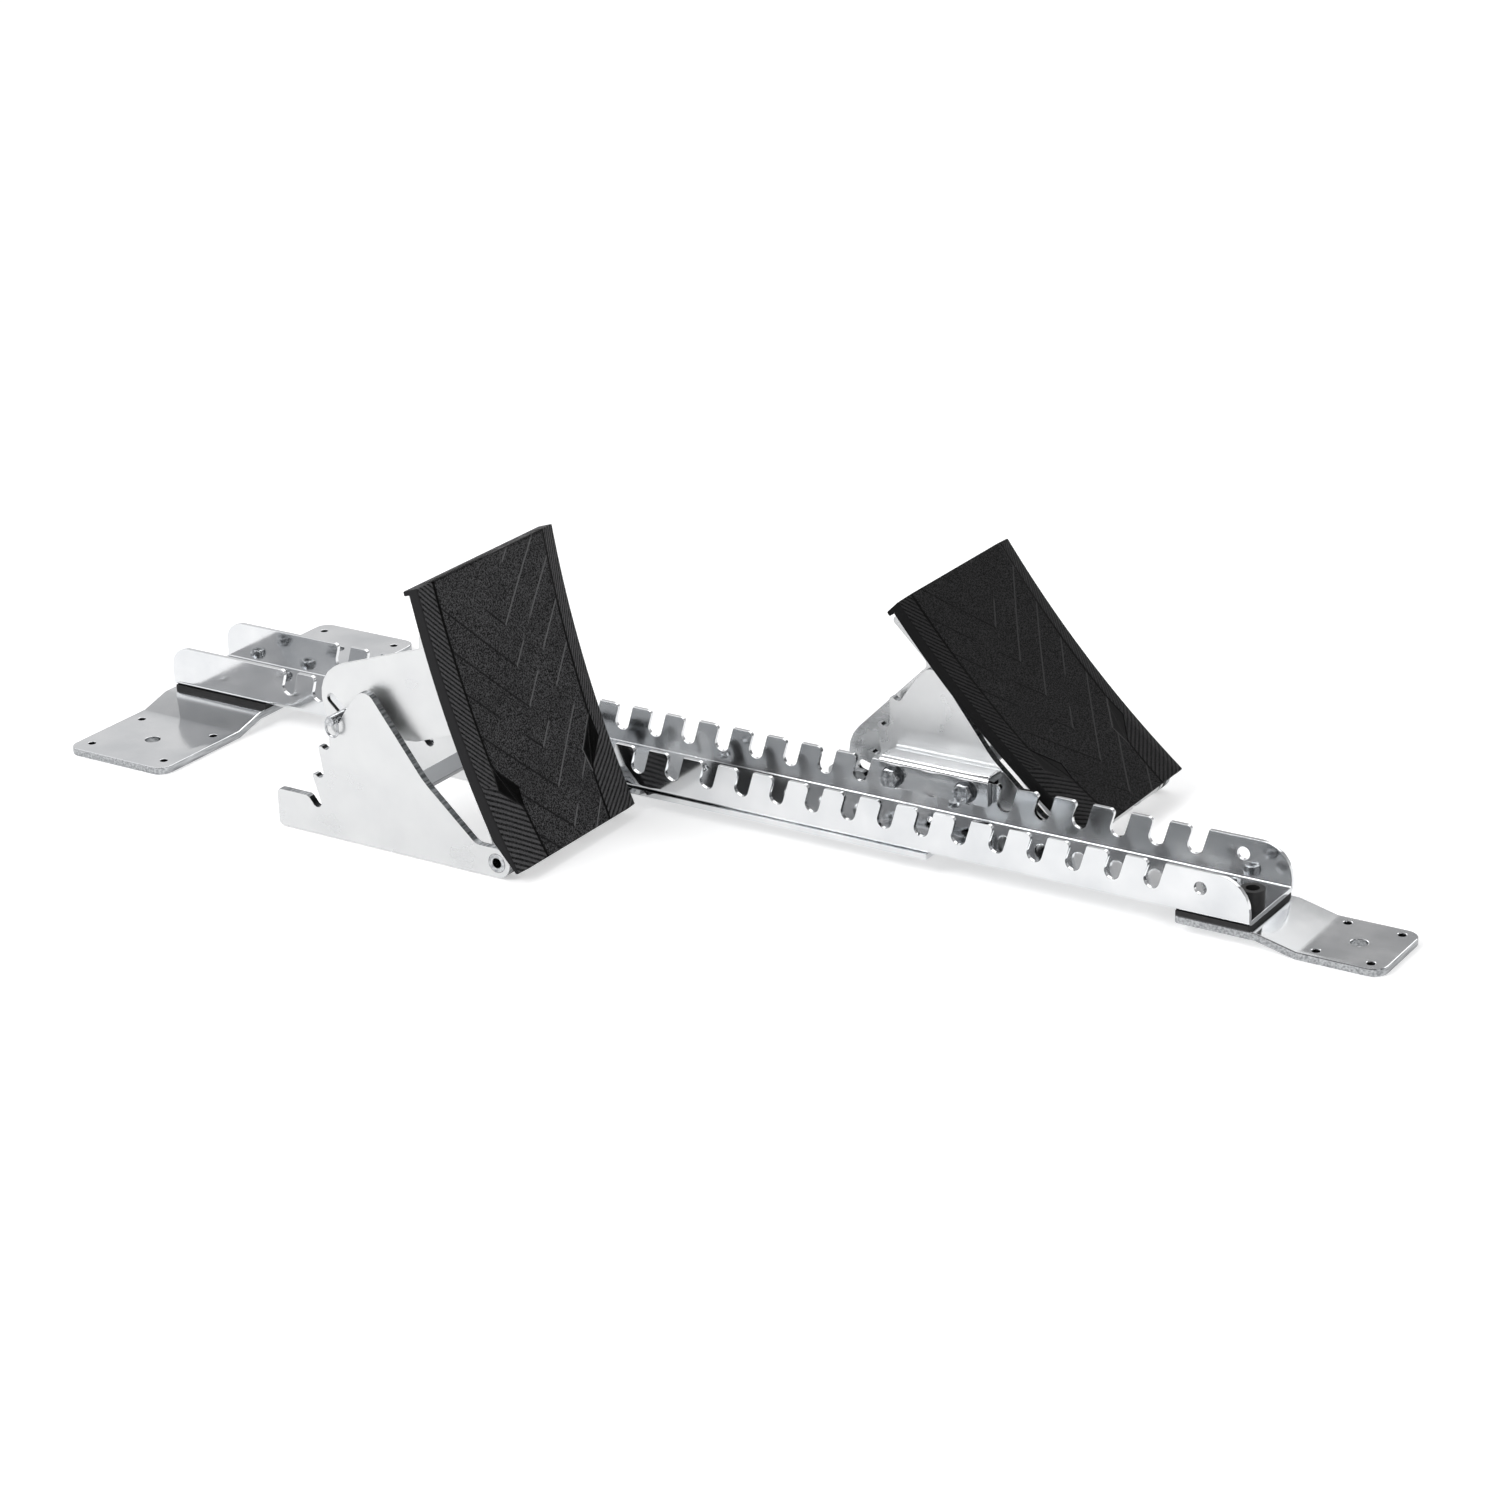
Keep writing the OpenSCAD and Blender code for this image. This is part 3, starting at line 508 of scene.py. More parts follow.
@dataclass(frozen=True)
class PedalRubber(Finish):
    """Compression-moulded rubber tread of a pedal.

    The mould gives a pebbled middle, ribbed side strips that lean two ways, a thin seam between
    them and a polished black inset where the seam steps inwards. The pattern is drawn on the
    piece's own plan map, in millimetres from the pedal's middle and its hinge. Light and shade
    are painted on it too: lighter flecks in the grain, lighter rib tops, dark rib grooves and a
    dark seam, and on one side a highlight on the raised lines and the inset's rim, with the lines
    shaded on the other.

    Attributes:
        shade: How much of the rubber's tone is kept; below 1 the tread darkens as painted shade.
        darkest: What the painted shade darkens the tread towards, in linear light.
        lit_side: 1 or -1, the side with a painted highlight on the lines and the inset's rim.
        pebble: Size of the pebble grain, in millimetres. The real grain is about 0.5 and is
            drawn at this coarser size so that it shows.
        patch: Size of the dusty patches, in millimetres.
        seam: The seam's points from the foot up, as across and up.
        inset: The polished inset's corners, anticlockwise.
        rib_pitch: Spacing of the ribs up the pad, in millimetres.
        rib_leans: Lean of the ribs on the long strips and on the broad foot, in degrees.
        foot_top: Height at which the foot's ribs end.
        face_half: Half of the flat face's width at the hinge.
        face_spread: How much that widens for each millimetre up.
        line_pitch: Spacing of the raised lines up the pad, in millimetres.
        line_piece: Length of the pieces that they break into.
        relief: Depth of the bump, in millimetres.
    """

    shade: float = 1.0
    darkest: float = 0.004
    lit_side: float = 1.0
    pebble: float = 0.72
    patch: float = 22.22
    seam: tuple[tuple[float, float], ...] = (
        (32.6, -8.0),
        (35.4, 24.0),
        (50.2, 58.0),
        (55.0, 176.0),
    )
    inset: tuple[tuple[float, float], ...] = (
        (35.2, 24.6),
        (52.0, 41.0),
        (51.0, 57.5),
        (33.5, 38.5),
    )
    rib_pitch: float = 3.7
    rib_leans: tuple[float, float] = (50.0, 33.0)
    foot_top: float = 46.0
    face_half: float = 61.4
    face_spread: float = 0.03462
    line_pitch: float = 26.0
    line_piece: float = 28.57
    relief: float = 0.8

    def edge(
        self,
        tree: bpy.types.NodeTree,
        across: bpy.types.NodeSocket,
        up: bpy.types.NodeSocket,
        start: tuple[float, float],
        end: tuple[float, float],
    ) -> bpy.types.NodeSocket:
        """Signed distance from a line in the plan, positive on the line's left.

        Args:
            tree: The node tree.
            across: Distance from the pad's middle, in millimetres.
            up: Height up the pad, in millimetres.
            start: A point on the line, as across and up.
            end: A further point on it.

        Returns:
            The distance's socket, in millimetres.
        """
        run, rise = end[0] - start[0], end[1] - start[1]
        length = math.hypot(run, rise)
        a, b = -rise / length, run / length
        first = math_node(tree, "MULTIPLY", across, a)
        both = math_node(tree, "MULTIPLY_ADD", up, b, first)
        return math_node(tree, "SUBTRACT", both, a * start[0] + b * start[1])

    def inside(
        self,
        tree: bpy.types.NodeTree,
        across: bpy.types.NodeSocket,
        up: bpy.types.NodeSocket,
        corners: tuple[tuple[float, float], ...],
    ) -> bpy.types.NodeSocket:
        """Distance inside a convex outline whose corners run anticlockwise.

        Args:
            tree: The node tree.
            across: Distance from the pad's middle, in millimetres.
            up: Height up the pad, in millimetres.
            corners: The outline's corners.

        Returns:
            The socket of a value that is positive inside.
        """
        found = None
        for i, corner in enumerate(corners):
            near = self.edge(tree, across, up, corner, corners[(i + 1) % len(corners)])
            found = near if found is None else math_node(tree, "MINIMUM", found, near)
        return found

    def material(self) -> bpy.types.Material:
        """Builds the material.

        Returns:
            The finished material.
        """
        material, tree, shader = self.begin()
        plan = add_node(tree, "UVMap", {"uv_map": PLAN_MAP}).outputs[0]
        split = add_node(tree, "SeparateXYZ", None, {0: plan})
        side, up = (math_node(tree, "DIVIDE", split.outputs[i], MM) for i in (0, 1))
        across = math_node(tree, "ABSOLUTE", side)

        # The seam runs down each side, steps in round the inset and goes on to the foot.
        lower, step, upper = (
            self.edge(tree, across, up, start, end)
            for start, end in zip(self.seam, self.seam[1:])
        )
        low_part = math_node(tree, "LESS_THAN", up, self.seam[1][1])
        high_part = math_node(tree, "GREATER_THAN", up, self.seam[2][1])
        border = mix_value(tree, low_part, step, lower)
        border = mix_value(tree, high_part, border, upper)
        outside = math_node(tree, "LESS_THAN", border, 0.0)
        seam = ramp(tree, math_node(tree, "ABSOLUTE", border), 0.7, 1.1, 1.0, 0.0)

        # The polished inset.
        inset = self.inside(tree, across, up, self.inset)
        polish = ramp(tree, inset, -0.25, 0.25)
        rim = ramp(tree, math_node(tree, "ABSOLUTE", inset), 0.2, 0.9, 1.0, 0.0)

        # Ribs lean steeply on the long strips and less on the broad foot.
        strip_rib, foot_rib = (
            math_node(tree, "MULTIPLY_ADD", across, -math.tan(math.radians(lean)), up)
            for lean in self.rib_leans
        )
        is_foot = math_node(tree, "LESS_THAN", up, self.foot_top)
        rib = mix_value(tree, is_foot, strip_rib, foot_rib)
        rib = math_node(tree, "PINGPONG", math_node(tree, "DIVIDE", rib, self.rib_pitch / 2), 1.0)
        rib = ramp(tree, rib, 0.25, 0.6)
        face_edge = math_node(tree, "MULTIPLY_ADD", up, self.face_spread, self.face_half)
        on_face = math_node(tree, "LESS_THAN", across, face_edge)
        ribbed = math_node(tree, "MULTIPLY", outside, math_node(tree, "SUBTRACT", 1.0, polish))
        ribbed = math_node(tree, "MULTIPLY", ribbed, on_face)

        # Fine raised lines run in chevrons over the middle, broken into long pieces.
        chevron = math_node(tree, "MULTIPLY_ADD", across, -1.0, up)
        row = math_node(tree, "DIVIDE", chevron, self.line_pitch / 2)
        along = add_node(tree, "CombineXYZ", None, {0: side, 1: chevron}).outputs[0]
        broken = add_node(
            tree,
            "TexNoise",
            None,
            {"Vector": along, "Scale": 1.0 / self.line_piece, "Detail": 0.0},
        ).outputs[0]
        line = ramp(tree, math_node(tree, "PINGPONG", row, 1.0), 0.05, 0.085, 1.0, 0.0)
        line = math_node(tree, "MULTIPLY", line, ramp(tree, broken, 0.4, 0.44))
        middle = math_node(tree, "SUBTRACT", 1.0, math_node(tree, "MAXIMUM", outside, polish))
        line = math_node(tree, "MULTIPLY", line, middle)

        # The rubber itself, with pebbles, flecks and dust.
        place = add_node(tree, "TexCoord").outputs["Object"]
        pebbles = add_node(
            tree,
            "TexVoronoi",
            {"feature": "F1"},
            {"Vector": place, "Scale": scale_of(self.pebble), "Randomness": 1.0},
        ).outputs[0]
        fleck = noise(tree, place, 1.25 * self.pebble, 1.0)
        dust = ramp(tree, noise(tree, place, self.patch, 3.0), 0.4, 0.75, 0.0, 0.3)
        # The grain's lighter flecks are partly random tone, partly painted light on the pebble
        # tips.
        grain = mix_colour(
            tree,
            ramp(tree, fleck, 0.4, 0.62),
            TreadTone.GLOSS_BLACK.light,
            TreadTone.GRAIN_TIP.light,
        )
        # The rib grooves are painted dark as shade and the rib tops lighter as painted light.
        ridge = mix_colour(tree, rib, TreadTone.GROOVE.light, TreadTone.RIB_TOP.light)
        ridge = mix_colour(tree, 0.35, ridge, grain)
        # The raised lines get a painted highlight on the lit side and painted shade on the other.
        lit = math_node(tree, "MULTIPLY", side, self.lit_side)
        lit = math_node(tree, "GREATER_THAN", lit, 0.0)
        line_light_and_shade = mix_colour(
            tree, lit, TreadTone.SHADED_LINE.light, TreadTone.SCUFFED_LINE.light
        )
        # The inset's rim gets a painted highlight on the lit side.
        lit_rim = math_node(tree, "MULTIPLY", math_node(tree, "MULTIPLY", rim, lit), middle)
        surface = mix_colour(tree, dust, grain, TreadTone.DUST.light)
        for part, tone in (
            (math_node(tree, "MULTIPLY", line, 0.8), line_light_and_shade),
            (ribbed, ridge),
            # The seam is painted near black, as shade in its groove.
            (seam, TreadTone.SEAM.light),
            (polish, TreadTone.GLOSS_BLACK.light),
            (lit_rim, TreadTone.SCUFFED_RIM.light),
        ):
            surface = mix_colour(tree, part, surface, tone)
        surface = mix_colour(tree, on_face, TreadTone.SIDE_WALL.light, surface)
        # Below a shade of one the whole tread is darkened, as painted shade.
        surface = mix_colour(tree, self.shade, (*[self.darkest] * 3, 1.0), surface)
        rough = mix_value(tree, polish, ramp(tree, fleck, 0.3, 0.7, 0.62, 0.5), 0.2)

        # Its relief, each part as a share of the bump's depth.
        height = math_node(tree, "MULTIPLY", ramp(tree, pebbles, 0.0, 0.7, 1.0, 0.0), middle)
        height = math_node(tree, "MULTIPLY", height, math_node(tree, "MULTIPLY", on_face, 0.25))
        height = math_node(tree, "MULTIPLY_ADD", rib, ribbed, height)
        for part, share in ((line, 0.5), (seam, -1.2), (polish, -0.8), (rim, 0.4)):
            height = math_node(tree, "MULTIPLY_ADD", part, share, height)
        moulded = bump(tree, height, 0.85, self.relief)
        feed(
            tree,
            shader,
            {
                "Base Color": surface,
                "Roughness": rough,
                "Normal": moulded,
                "Specular IOR Level": 0.06,
            },
        )
        return material


@dataclass(frozen=True)
class StudioFloor(Finish):
    """Pale paper sweep. It glows a little to the camera and in the metal, and keeps the shadow.

    Attributes:
        colour: The paper's colour.
        seen_glow: Its glow where the camera sees it.
        mirrored_glow: Its glow where the metal mirrors it.
    """

    colour: str = "#E9E9E9"
    seen_glow: float = 0.42
    mirrored_glow: float = 0.41

    def material(self) -> bpy.types.Material:
        """Builds the material.

        Returns:
            The finished material.
        """
        material, tree, shader = self.begin()
        path = add_node(tree, "LightPath")
        seen = math_node(
            tree, "MAXIMUM", path.outputs["Is Camera Ray"], path.outputs["Is Transmission Ray"]
        )
        glow = math_node(
            tree,
            "MAXIMUM",
            math_node(tree, "MULTIPLY", seen, self.seen_glow),
            math_node(tree, "MULTIPLY", path.outputs["Is Glossy Ray"], self.mirrored_glow),
        )
        feed(
            tree,
            shader,
            {
                "Base Color": linear(self.colour),
                "Roughness": 0.9,
                "Specular IOR Level": 0.0,
                "Emission Color": (1.0, 1.0, 1.0, 1.0),
                "Emission Strength": glow,
            },
        )
        return material


def select_only(piece: bpy.types.Object) -> None:
    """Deselects everything and makes one object selected and active."""
    bpy.ops.object.select_all(action="DESELECT")
    piece.select_set(True)
    bpy.context.view_layer.objects.active = piece


def finish_with(piece: bpy.types.Object, kind: str, **settings: Any) -> None:
    """Adds a modifier to a piece and applies it.

    Args:
        piece: The piece.
        kind: The modifier's type.
        **settings: Its properties.
    """
    select_only(piece)
    modifier = piece.modifiers.new(kind.lower(), kind)
    for name, value in settings.items():
        setattr(modifier, name, value)
    bpy.ops.object.modifier_apply(modifier=modifier.name)


def smooth(piece: bpy.types.Object, crease: float) -> None:
    """Shades a piece smooth, but for its creases.

    The broad faces keep their own direction, and only the rounds between them turn.

    Args:
        piece: The piece.
        crease: The least turn in degrees that stays a crease.
    """
    select_only(piece)
    bpy.ops.object.shade_smooth_by_angle(angle=math.radians(crease))
    finish_with(piece, "WEIGHTED_NORMAL", mode="FACE_AREA", weight=100, keep_sharp=True)


def rounded_edges(piece: bpy.types.Object, width: float, segments: int = 2) -> None:
    """Rounds the sharp edges of a piece.

    Args:
        piece: The piece.
        width: The round's size in millimetres.
        segments: How many faces cross the round.
    """
    finish_with(
        piece,
        "BEVEL",
        width=width * MM,
        segments=segments,
        limit_method="ANGLE",
        angle_limit=math.radians(SHARP),
        use_clamp_overlap=False,
        harden_normals=False,
    )


def paint(piece: bpy.types.Object, material: bpy.types.Material) -> None:
    """Gives a piece one material, in every slot it has."""
    if not piece.material_slots:
        piece.data.materials.append(material)
    for place in piece.material_slots:
        place.material = material


def paint_bore_shade(piece: bpy.types.Object, material: bpy.types.Material, gap: float) -> None:
    """Gives the walls of a piece's holes and slots a material of their own, a painted shade.

    Args:
        piece: The piece, already painted.
        material: The walls' material, painted dark as shade.
        gap: The widest hole, in millimetres: a wall looks at its own piece across less.
    """
    mesh = piece.data
    solid = BVHTree.FromPolygons(
        [v.co for v in mesh.vertices], [tuple(p.vertices) for p in mesh.polygons]
    )
    mesh.materials.append(material)
    wall = len(mesh.materials) - 1
    clear = 0.05 * MM
    for face in mesh.polygons:
        start = Vector(face.center) + Vector(face.normal) * clear
        if solid.ray_cast(start, face.normal, gap * MM)[0] is not None:
            face.material_index = wall


def softened(
    node: str, body: str, width: float, crease: float = CREASE
) -> bpy.types.Object:
    """Copies a solid's mesh, merges it and rounds its sheet edges.

    Args:
        node: The solid's name.
        body: The body that the piece rides on.
        width: The size of the rounded edges in millimetres.
        crease: The least turn in degrees that shows as a crease; gentler bends look rolled.

    Returns:
        The piece that stands for the solid.
    """
    source = bpy.data.objects[node]
    piece = bpy.data.objects.new(node + "_sheet", source.data.copy())
    bpy.context.scene.collection.objects.link(piece)
    select_only(piece)
    bpy.ops.object.mode_set(mode="EDIT")
    bpy.ops.mesh.select_all(action="SELECT")
    bpy.ops.mesh.customdata_custom_splitnormals_clear()
    bpy.ops.mesh.remove_doubles(threshold=WELD * MM)
    bpy.ops.mesh.dissolve_limited(angle_limit=math.radians(FLAT))
    bpy.ops.object.mode_set(mode="OBJECT")
    rounded_edges(piece, width)
    smooth(piece, crease)
    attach(piece, body)
    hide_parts(node)
    LOG.info("%s stands for %s", piece.name, node)
    return piece


def made(finish: Finish) -> Any:
    """A field that gets a finish's material when the workshop opens."""
    return field(default_factory=finish.material)


@dataclass
class Workshop:
    """The finishes of the set, each made once."""

    mirror: bpy.types.Material = made(ZincPlate("bright zinc plated steel"))
    satin: bpy.types.Material = made(
        ZincPlate("satin zinc plated steel", colour="#DADBDB", sheen=Sheen.SATIN)
    )
    plate: bpy.types.Material = made(
        ZincPlate(
            "satin zinc plated plate",
            colour="#DADBDB",
            sheen=Sheen.SATIN,
            cut_edge=CutEdge.UPRIGHT,
        )
    )
    anchor: bpy.types.Material = made(
        ZincPlate(
            "bright zinc plated anchor plate",
            cut_edge=CutEdge.LYING,
            torn="#8A8C8E",
            sheared="#B8BABC",
        )
    )
    washer: bpy.types.Material = made(
        PlatedFastener(
            "blackened spring washer", colour="#6E7073", speck="#4A4C4E", roughness=0.35
        )
    )
    # The walls of holes and slots, painted dark as shade.
    bore_shade: bpy.types.Material = made(
        PlatedFastener("painted shade in bores", colour="#2E2F31", speck="#161718", roughness=0.45)
    )
    fastener: bpy.types.Material = made(PlatedFastener("barrel plated steel"))
    bar: bpy.types.Material = made(DarkBar("phosphated drawn bar"))
    gasket: bpy.types.Material = made(PlainRubber("moulded gasket rubber"))
    tread: bpy.types.Material = made(PedalRubber("moulded pedal rubber"))
    # The front tread: the same rubber darkened as painted shade, its lit side flipped for the
    # mirrored pad.
    shaded_tread: bpy.types.Material = made(
        PedalRubber("moulded pedal rubber under painted shade", shade=0.33, lit_side=-1.0)
    )


@dataclass
class Track:
    """The rail, its doubler and the two anchors, which all stay still.

    Attributes:
        shop: The finishes.
        edge: Round on the edges of the channel's sheet and of its fasteners, in millimetres.
        plate_edge: Round on the edges of the thick anchor plates, in millimetres.
        front_crease: The least crease of the front plate, whose flares bend gently, in degrees.
        plate_hole: The anchor plates' widest hole, in millimetres.
    """

    shop: Workshop
    edge: float = 0.3
    plate_edge: float = 0.6
    front_crease: float = 16.0
    plate_hole: float = 8.0

    def build(self) -> None:
        """Dresses every piece of the track."""
        body = "track_rail"
        for name in ("rail", "rail_doubler"):
            paint(softened(name, body, self.edge), self.shop.mirror)
        for end, crease in (("rear", CREASE), ("front", self.front_crease)):
            plate = softened(end + "_anchor_plate", body, self.plate_edge, crease)
            paint(plate, self.shop.anchor)
            paint_bore_shade(plate, self.shop.bore_shade, self.plate_hole)
        for name in ("rear_anchor_gasket", "front_anchor_gasket", "front_post_sleeve"):
            paint(bpy.data.objects[name], self.shop.gasket)
        for name in ("doubler_rivets", "rear_anchor_screws", "front_anchor_screws", "front_post"):
            paint(softened(name, body, self.edge), self.shop.fastener)


@dataclass
class FootBlock:
    """One foot block: side plates, saddle, hinge, pedal and lock pin.

    Attributes:
        shop: The finishes.
        prefix: The block's name, rear or front.
        hinge: The hinge axis's place in millimetres, at the block's middle.
        side: Plus one where the block stands on the rail's left, minus one on its right.
        lean: How far the pedal leans back from upright, in degrees.
        face: Distance from the hinge line to the hollow of the pad's face.
        thick: Thickness of the pad.
        curve: Radius of the hollow face.
        curve_up: Height of the middle of the hollow.
        foot: Depth of the pad's foot below the hinge.
        top: Height of the pad's top above the hinge.
        foot_half: Half of the pad's width at its foot.
        top_half: Half of the pad's width at its top.
        strip: Distance from the middle at which the side strips start to fall back.
        fall: Slope of the side strips in degrees.
        hook: Height of the hooked lip at the top.
        hook_reach: How far the lip reaches behind the pad.
        slant_top: Height at which the slant behind the toe starts.
        slant_foot: How far ahead of the hinge the slant is, a millimetre below the foot.
        arc: Angle that the hollow is swept through in degrees, past both ends of the pad.
        arc_steps: How many faces cross the arc.
        pad_edge: Round on the pad's edges.
        pad_crease: The least turn in degrees that stays a crease on the pad.
        sheet_edge: Round on the edges of the side plates and the bracket.
        saddle_edge: Round on the saddle's edges.
        bar_edge: Round on the cross bar's edges.
        pin_edge: Round on the lock pin's ends.
        fastener_edge: Round on the edges of the other fasteners.
        plate_hole: The side plates' widest hole.
        bracket_hole: The bracket's widest hole.
    """

    shop: Workshop
    prefix: str
    hinge: tuple[float, float, float]
    side: int
    lean: float
    face: float = 11.5
    thick: float = 9.5
    curve: float = 690.0
    curve_up: float = 80.0
    foot: float = 8.0
    top: float = 174.0
    foot_half: float = 62.0
    top_half: float = 68.2
    strip: float = 53.0
    fall: float = 9.0
    hook: float = 3.2
    hook_reach: float = 4.0
    slant_top: float = 14.0
    slant_foot: float = 14.2
    arc: float = 16.8
    arc_steps: int = 40
    pad_edge: float = 0.9
    pad_crease: float = 38.0
    sheet_edge: float = 0.3
    saddle_edge: float = 0.35
    bar_edge: float = 0.5
    pin_edge: float = 0.4
    fastener_edge: float = 0.25
    plate_hole: float = 13.0
    bracket_hole: float = 9.0

    def sag(self, up: float) -> float:
        """How far the hollow face stands ahead of its deepest line at a height."""
        return self.curve - math.sqrt(self.curve**2 - (up - self.curve_up) ** 2)

    def pad(self) -> bpy.types.Object:
        """Models the tread in the pedal's upright frame and swings it into place.

        Returns:
            The finished pad.
        """
        back = self.face - self.thick

        # The section starts wider than the pad and is trimmed to its taper below.
        wide = 2.2 * self.top_half
        bpy.ops.object.select_all(action="DESELECT")
        bpy.ops.mesh.primitive_plane_add(
            size=1.0, location=((self.face + back) / 2 * MM, 0.0, self.curve_up * MM)
        )
        piece = bpy.context.object
        piece.name = self.prefix + "_pad_tread"
        bpy.ops.object.mode_set(mode="EDIT")
        bpy.ops.mesh.select_all(action="SELECT")
        bpy.ops.transform.resize(value=(self.thick * MM, wide * MM, 1.0))
        for side in (-1.0, 1.0):
            bpy.ops.mesh.select_all(action="SELECT")
            bpy.ops.mesh.bisect(
                plane_co=(0.0, side * self.strip * MM, 0.0), plane_no=(0.0, 1.0, 0.0)
            )
        self.pick(piece, "VERT", lambda p: p.x > (self.face - 1) and abs(p.y) > self.strip + 5)
        drop = (wide / 2 - self.strip) * math.tan(math.radians(self.fall))
        bpy.ops.transform.translate(value=(-drop * MM, 0.0, 0.0))
        bpy.ops.mesh.select_all(action="SELECT")
        bpy.ops.mesh.delete(type="ONLY_FACE")

        # The section sweeps round the hollow's axis.
        centre = ((self.face + self.curve) * MM, 0.0, self.curve_up * MM)
        arc = math.radians(self.arc)
        bpy.ops.mesh.select_all(action="SELECT")
        bpy.ops.transform.rotate(value=arc / 2, orient_axis="Y", center_override=centre)
        bpy.ops.mesh.select_all(action="SELECT")
        bpy.ops.mesh.spin(
            steps=self.arc_steps, angle=arc, center=centre, axis=(0.0, -1.0, 0.0)
        )
        bpy.ops.mesh.select_all(action="SELECT")
        bpy.ops.mesh.remove_doubles(threshold=WELD * MM)

        # Its ends, its tapering sides and the slant behind its toe are cut.
        for up, way in ((-self.foot, -1.0), (self.top, 1.0)):
            self.cut((0.0, 0.0, up), (0.0, 0.0, way))
        taper = math.atan((self.top_half - self.foot_half) / (self.top + self.foot))
        for side in (-1.0, 1.0):
            self.cut(
                (0.0, side * self.foot_half, -self.foot),
                (0.0, side * math.cos(taper), -math.sin(taper)),
            )
        start = back + self.sag(self.slant_top)
        rise = -self.foot - 1.0 - self.slant_top
        self.cut((start, 0.0, self.slant_top), (rise, 0.0, start - self.slant_foot))

        # A lip along its top, a little inside its edges, hooks back over the bracket.
        bpy.ops.mesh.select_all(action="SELECT")
        bpy.ops.mesh.bisect(
            plane_co=(0.0, 0.0, (self.top - self.hook) * MM), plane_no=(0.0, 0.0, 1.0)
        )
        lip = self.top - self.hook / 2
        self.pick(
            piece,
            "FACE",
            lambda p: abs(p.z - lip) < self.hook / 2 - 0.2
            and p.x < back + self.sag(lip) + 0.6
            and abs(p.y) < self.top_half - 1.5,
        )
        bpy.ops.mesh.extrude_region_move(
            TRANSFORM_OT_translate={"value": (-self.hook_reach * MM, 0.0, 0.0)}
        )
        bpy.ops.mesh.select_all(action="SELECT")
        bpy.ops.mesh.normals_make_consistent(inside=False)
        bpy.ops.object.mode_set(mode="OBJECT")
        rounded_edges(piece, self.pad_edge, 3)
        smooth(piece, self.pad_crease)
        plan = piece.data.uv_layers.new(name=PLAN_MAP)
        for loop in piece.data.loops:
            point = piece.matrix_world @ piece.data.vertices[loop.vertex_index].co
            plan.data[loop.index].uv = (point.y, point.z)
        self.seat(piece)
        return piece

    def pick(self, piece: bpy.types.Object, what: str, test: Callable[[Vector], bool]) -> None:
        """Selects vertices or faces by their place, in millimetres.

        Args:
            piece: The piece in edit mode.
            what: VERT or FACE.
            test: Says for a place whether it is picked.
        """
        bpy.ops.mesh.select_mode(type=what)
        bpy.ops.mesh.select_all(action="DESELECT")
        bpy.ops.object.mode_set(mode="OBJECT")
        parts = piece.data.vertices if what == "VERT" else piece.data.polygons
        for part in parts:
            spot = part.co if what == "VERT" else part.center
            part.select = bool(test((piece.matrix_world @ spot) / MM))
        bpy.ops.object.mode_set(mode="EDIT")

    def cut(self, spot: tuple[float, float, float], way: tuple[float, float, float]) -> None:
        """Cuts off what lies beyond a plane and closes the cut.

        Args:
            spot: A point of the plane, in millimetres.
            way: The direction of what goes.
        """
        bpy.ops.mesh.select_all(action="SELECT")
        bpy.ops.mesh.bisect(
            plane_co=tuple(v * MM for v in spot),
            plane_no=Vector(way).normalized(),
            use_fill=True,
            clear_outer=True,
        )

    def seat(self, piece: bpy.types.Object) -> None:
        """Swings a piece from the upright frame to the pedal's place and bakes that place in."""
        swing = Matrix.Rotation(math.radians(-self.lean), 4, "Y")
        flip = Matrix.Scale(-1.0, 4, (0.0, 1.0, 0.0)) if self.side > 0 else Matrix.Identity(4)
        place = Matrix.Translation(Vector(self.hinge) * MM) @ flip @ swing
        piece.data.transform(place @ piece.matrix_world)
        piece.matrix_world = Matrix.Identity(4)
        if self.side > 0:
            piece.data.flip_normals()
        piece.data.update()

    def build(self) -> None:
        """Builds and dresses the block."""
        shop, name = self.shop, self.prefix
        block, pedal, pin = name + "_block", name + "_pedal", name + "_pin"
        for part in ("outer_plate", "inner_plate"):
            plate = softened(f"{name}_{part}", block, self.sheet_edge)
            paint(plate, shop.plate)
            paint_bore_shade(plate, shop.bore_shade, self.plate_hole)
        paint(softened(name + "_saddle", block, self.saddle_edge), shop.mirror)
        paint(softened(name + "_cross_bar", block, self.bar_edge), shop.bar)
        for part, finish in (
            ("clamp_bolts", shop.fastener),
            ("clamp_nuts", shop.fastener),
            ("notch_sleeves", shop.fastener),
            ("hinge_tube", shop.fastener),
            ("clamp_washers", shop.washer),
        ):
            paint(softened(f"{name}_{part}", block, self.fastener_edge), finish)
        paint(bpy.data.objects[name + "_hinge_spacers"], shop.gasket)
        bracket = softened(name + "_pedal_bracket", pedal, self.sheet_edge)
        paint(bracket, shop.satin)
        paint_bore_shade(bracket, shop.bore_shade, self.bracket_hole)
        screws = softened(name + "_pad_screws", pedal, self.fastener_edge)
        paint(screws, shop.fastener)
        tread = self.pad()
        # The front tread gets the copy darkened as painted shade.
        paint(tread, shop.tread if self.prefix == "rear" else shop.shaded_tread)
        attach(tread, pedal)
        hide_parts(name + "_pad")
        LOG.info("%s stands for %s_pad", tread.name, name)
        paint(softened(name + "_lock_pin", pin, self.pin_edge), shop.fastener)
        paint(bpy.data.objects[name + "_lock_pin_rings"], shop.fastener)


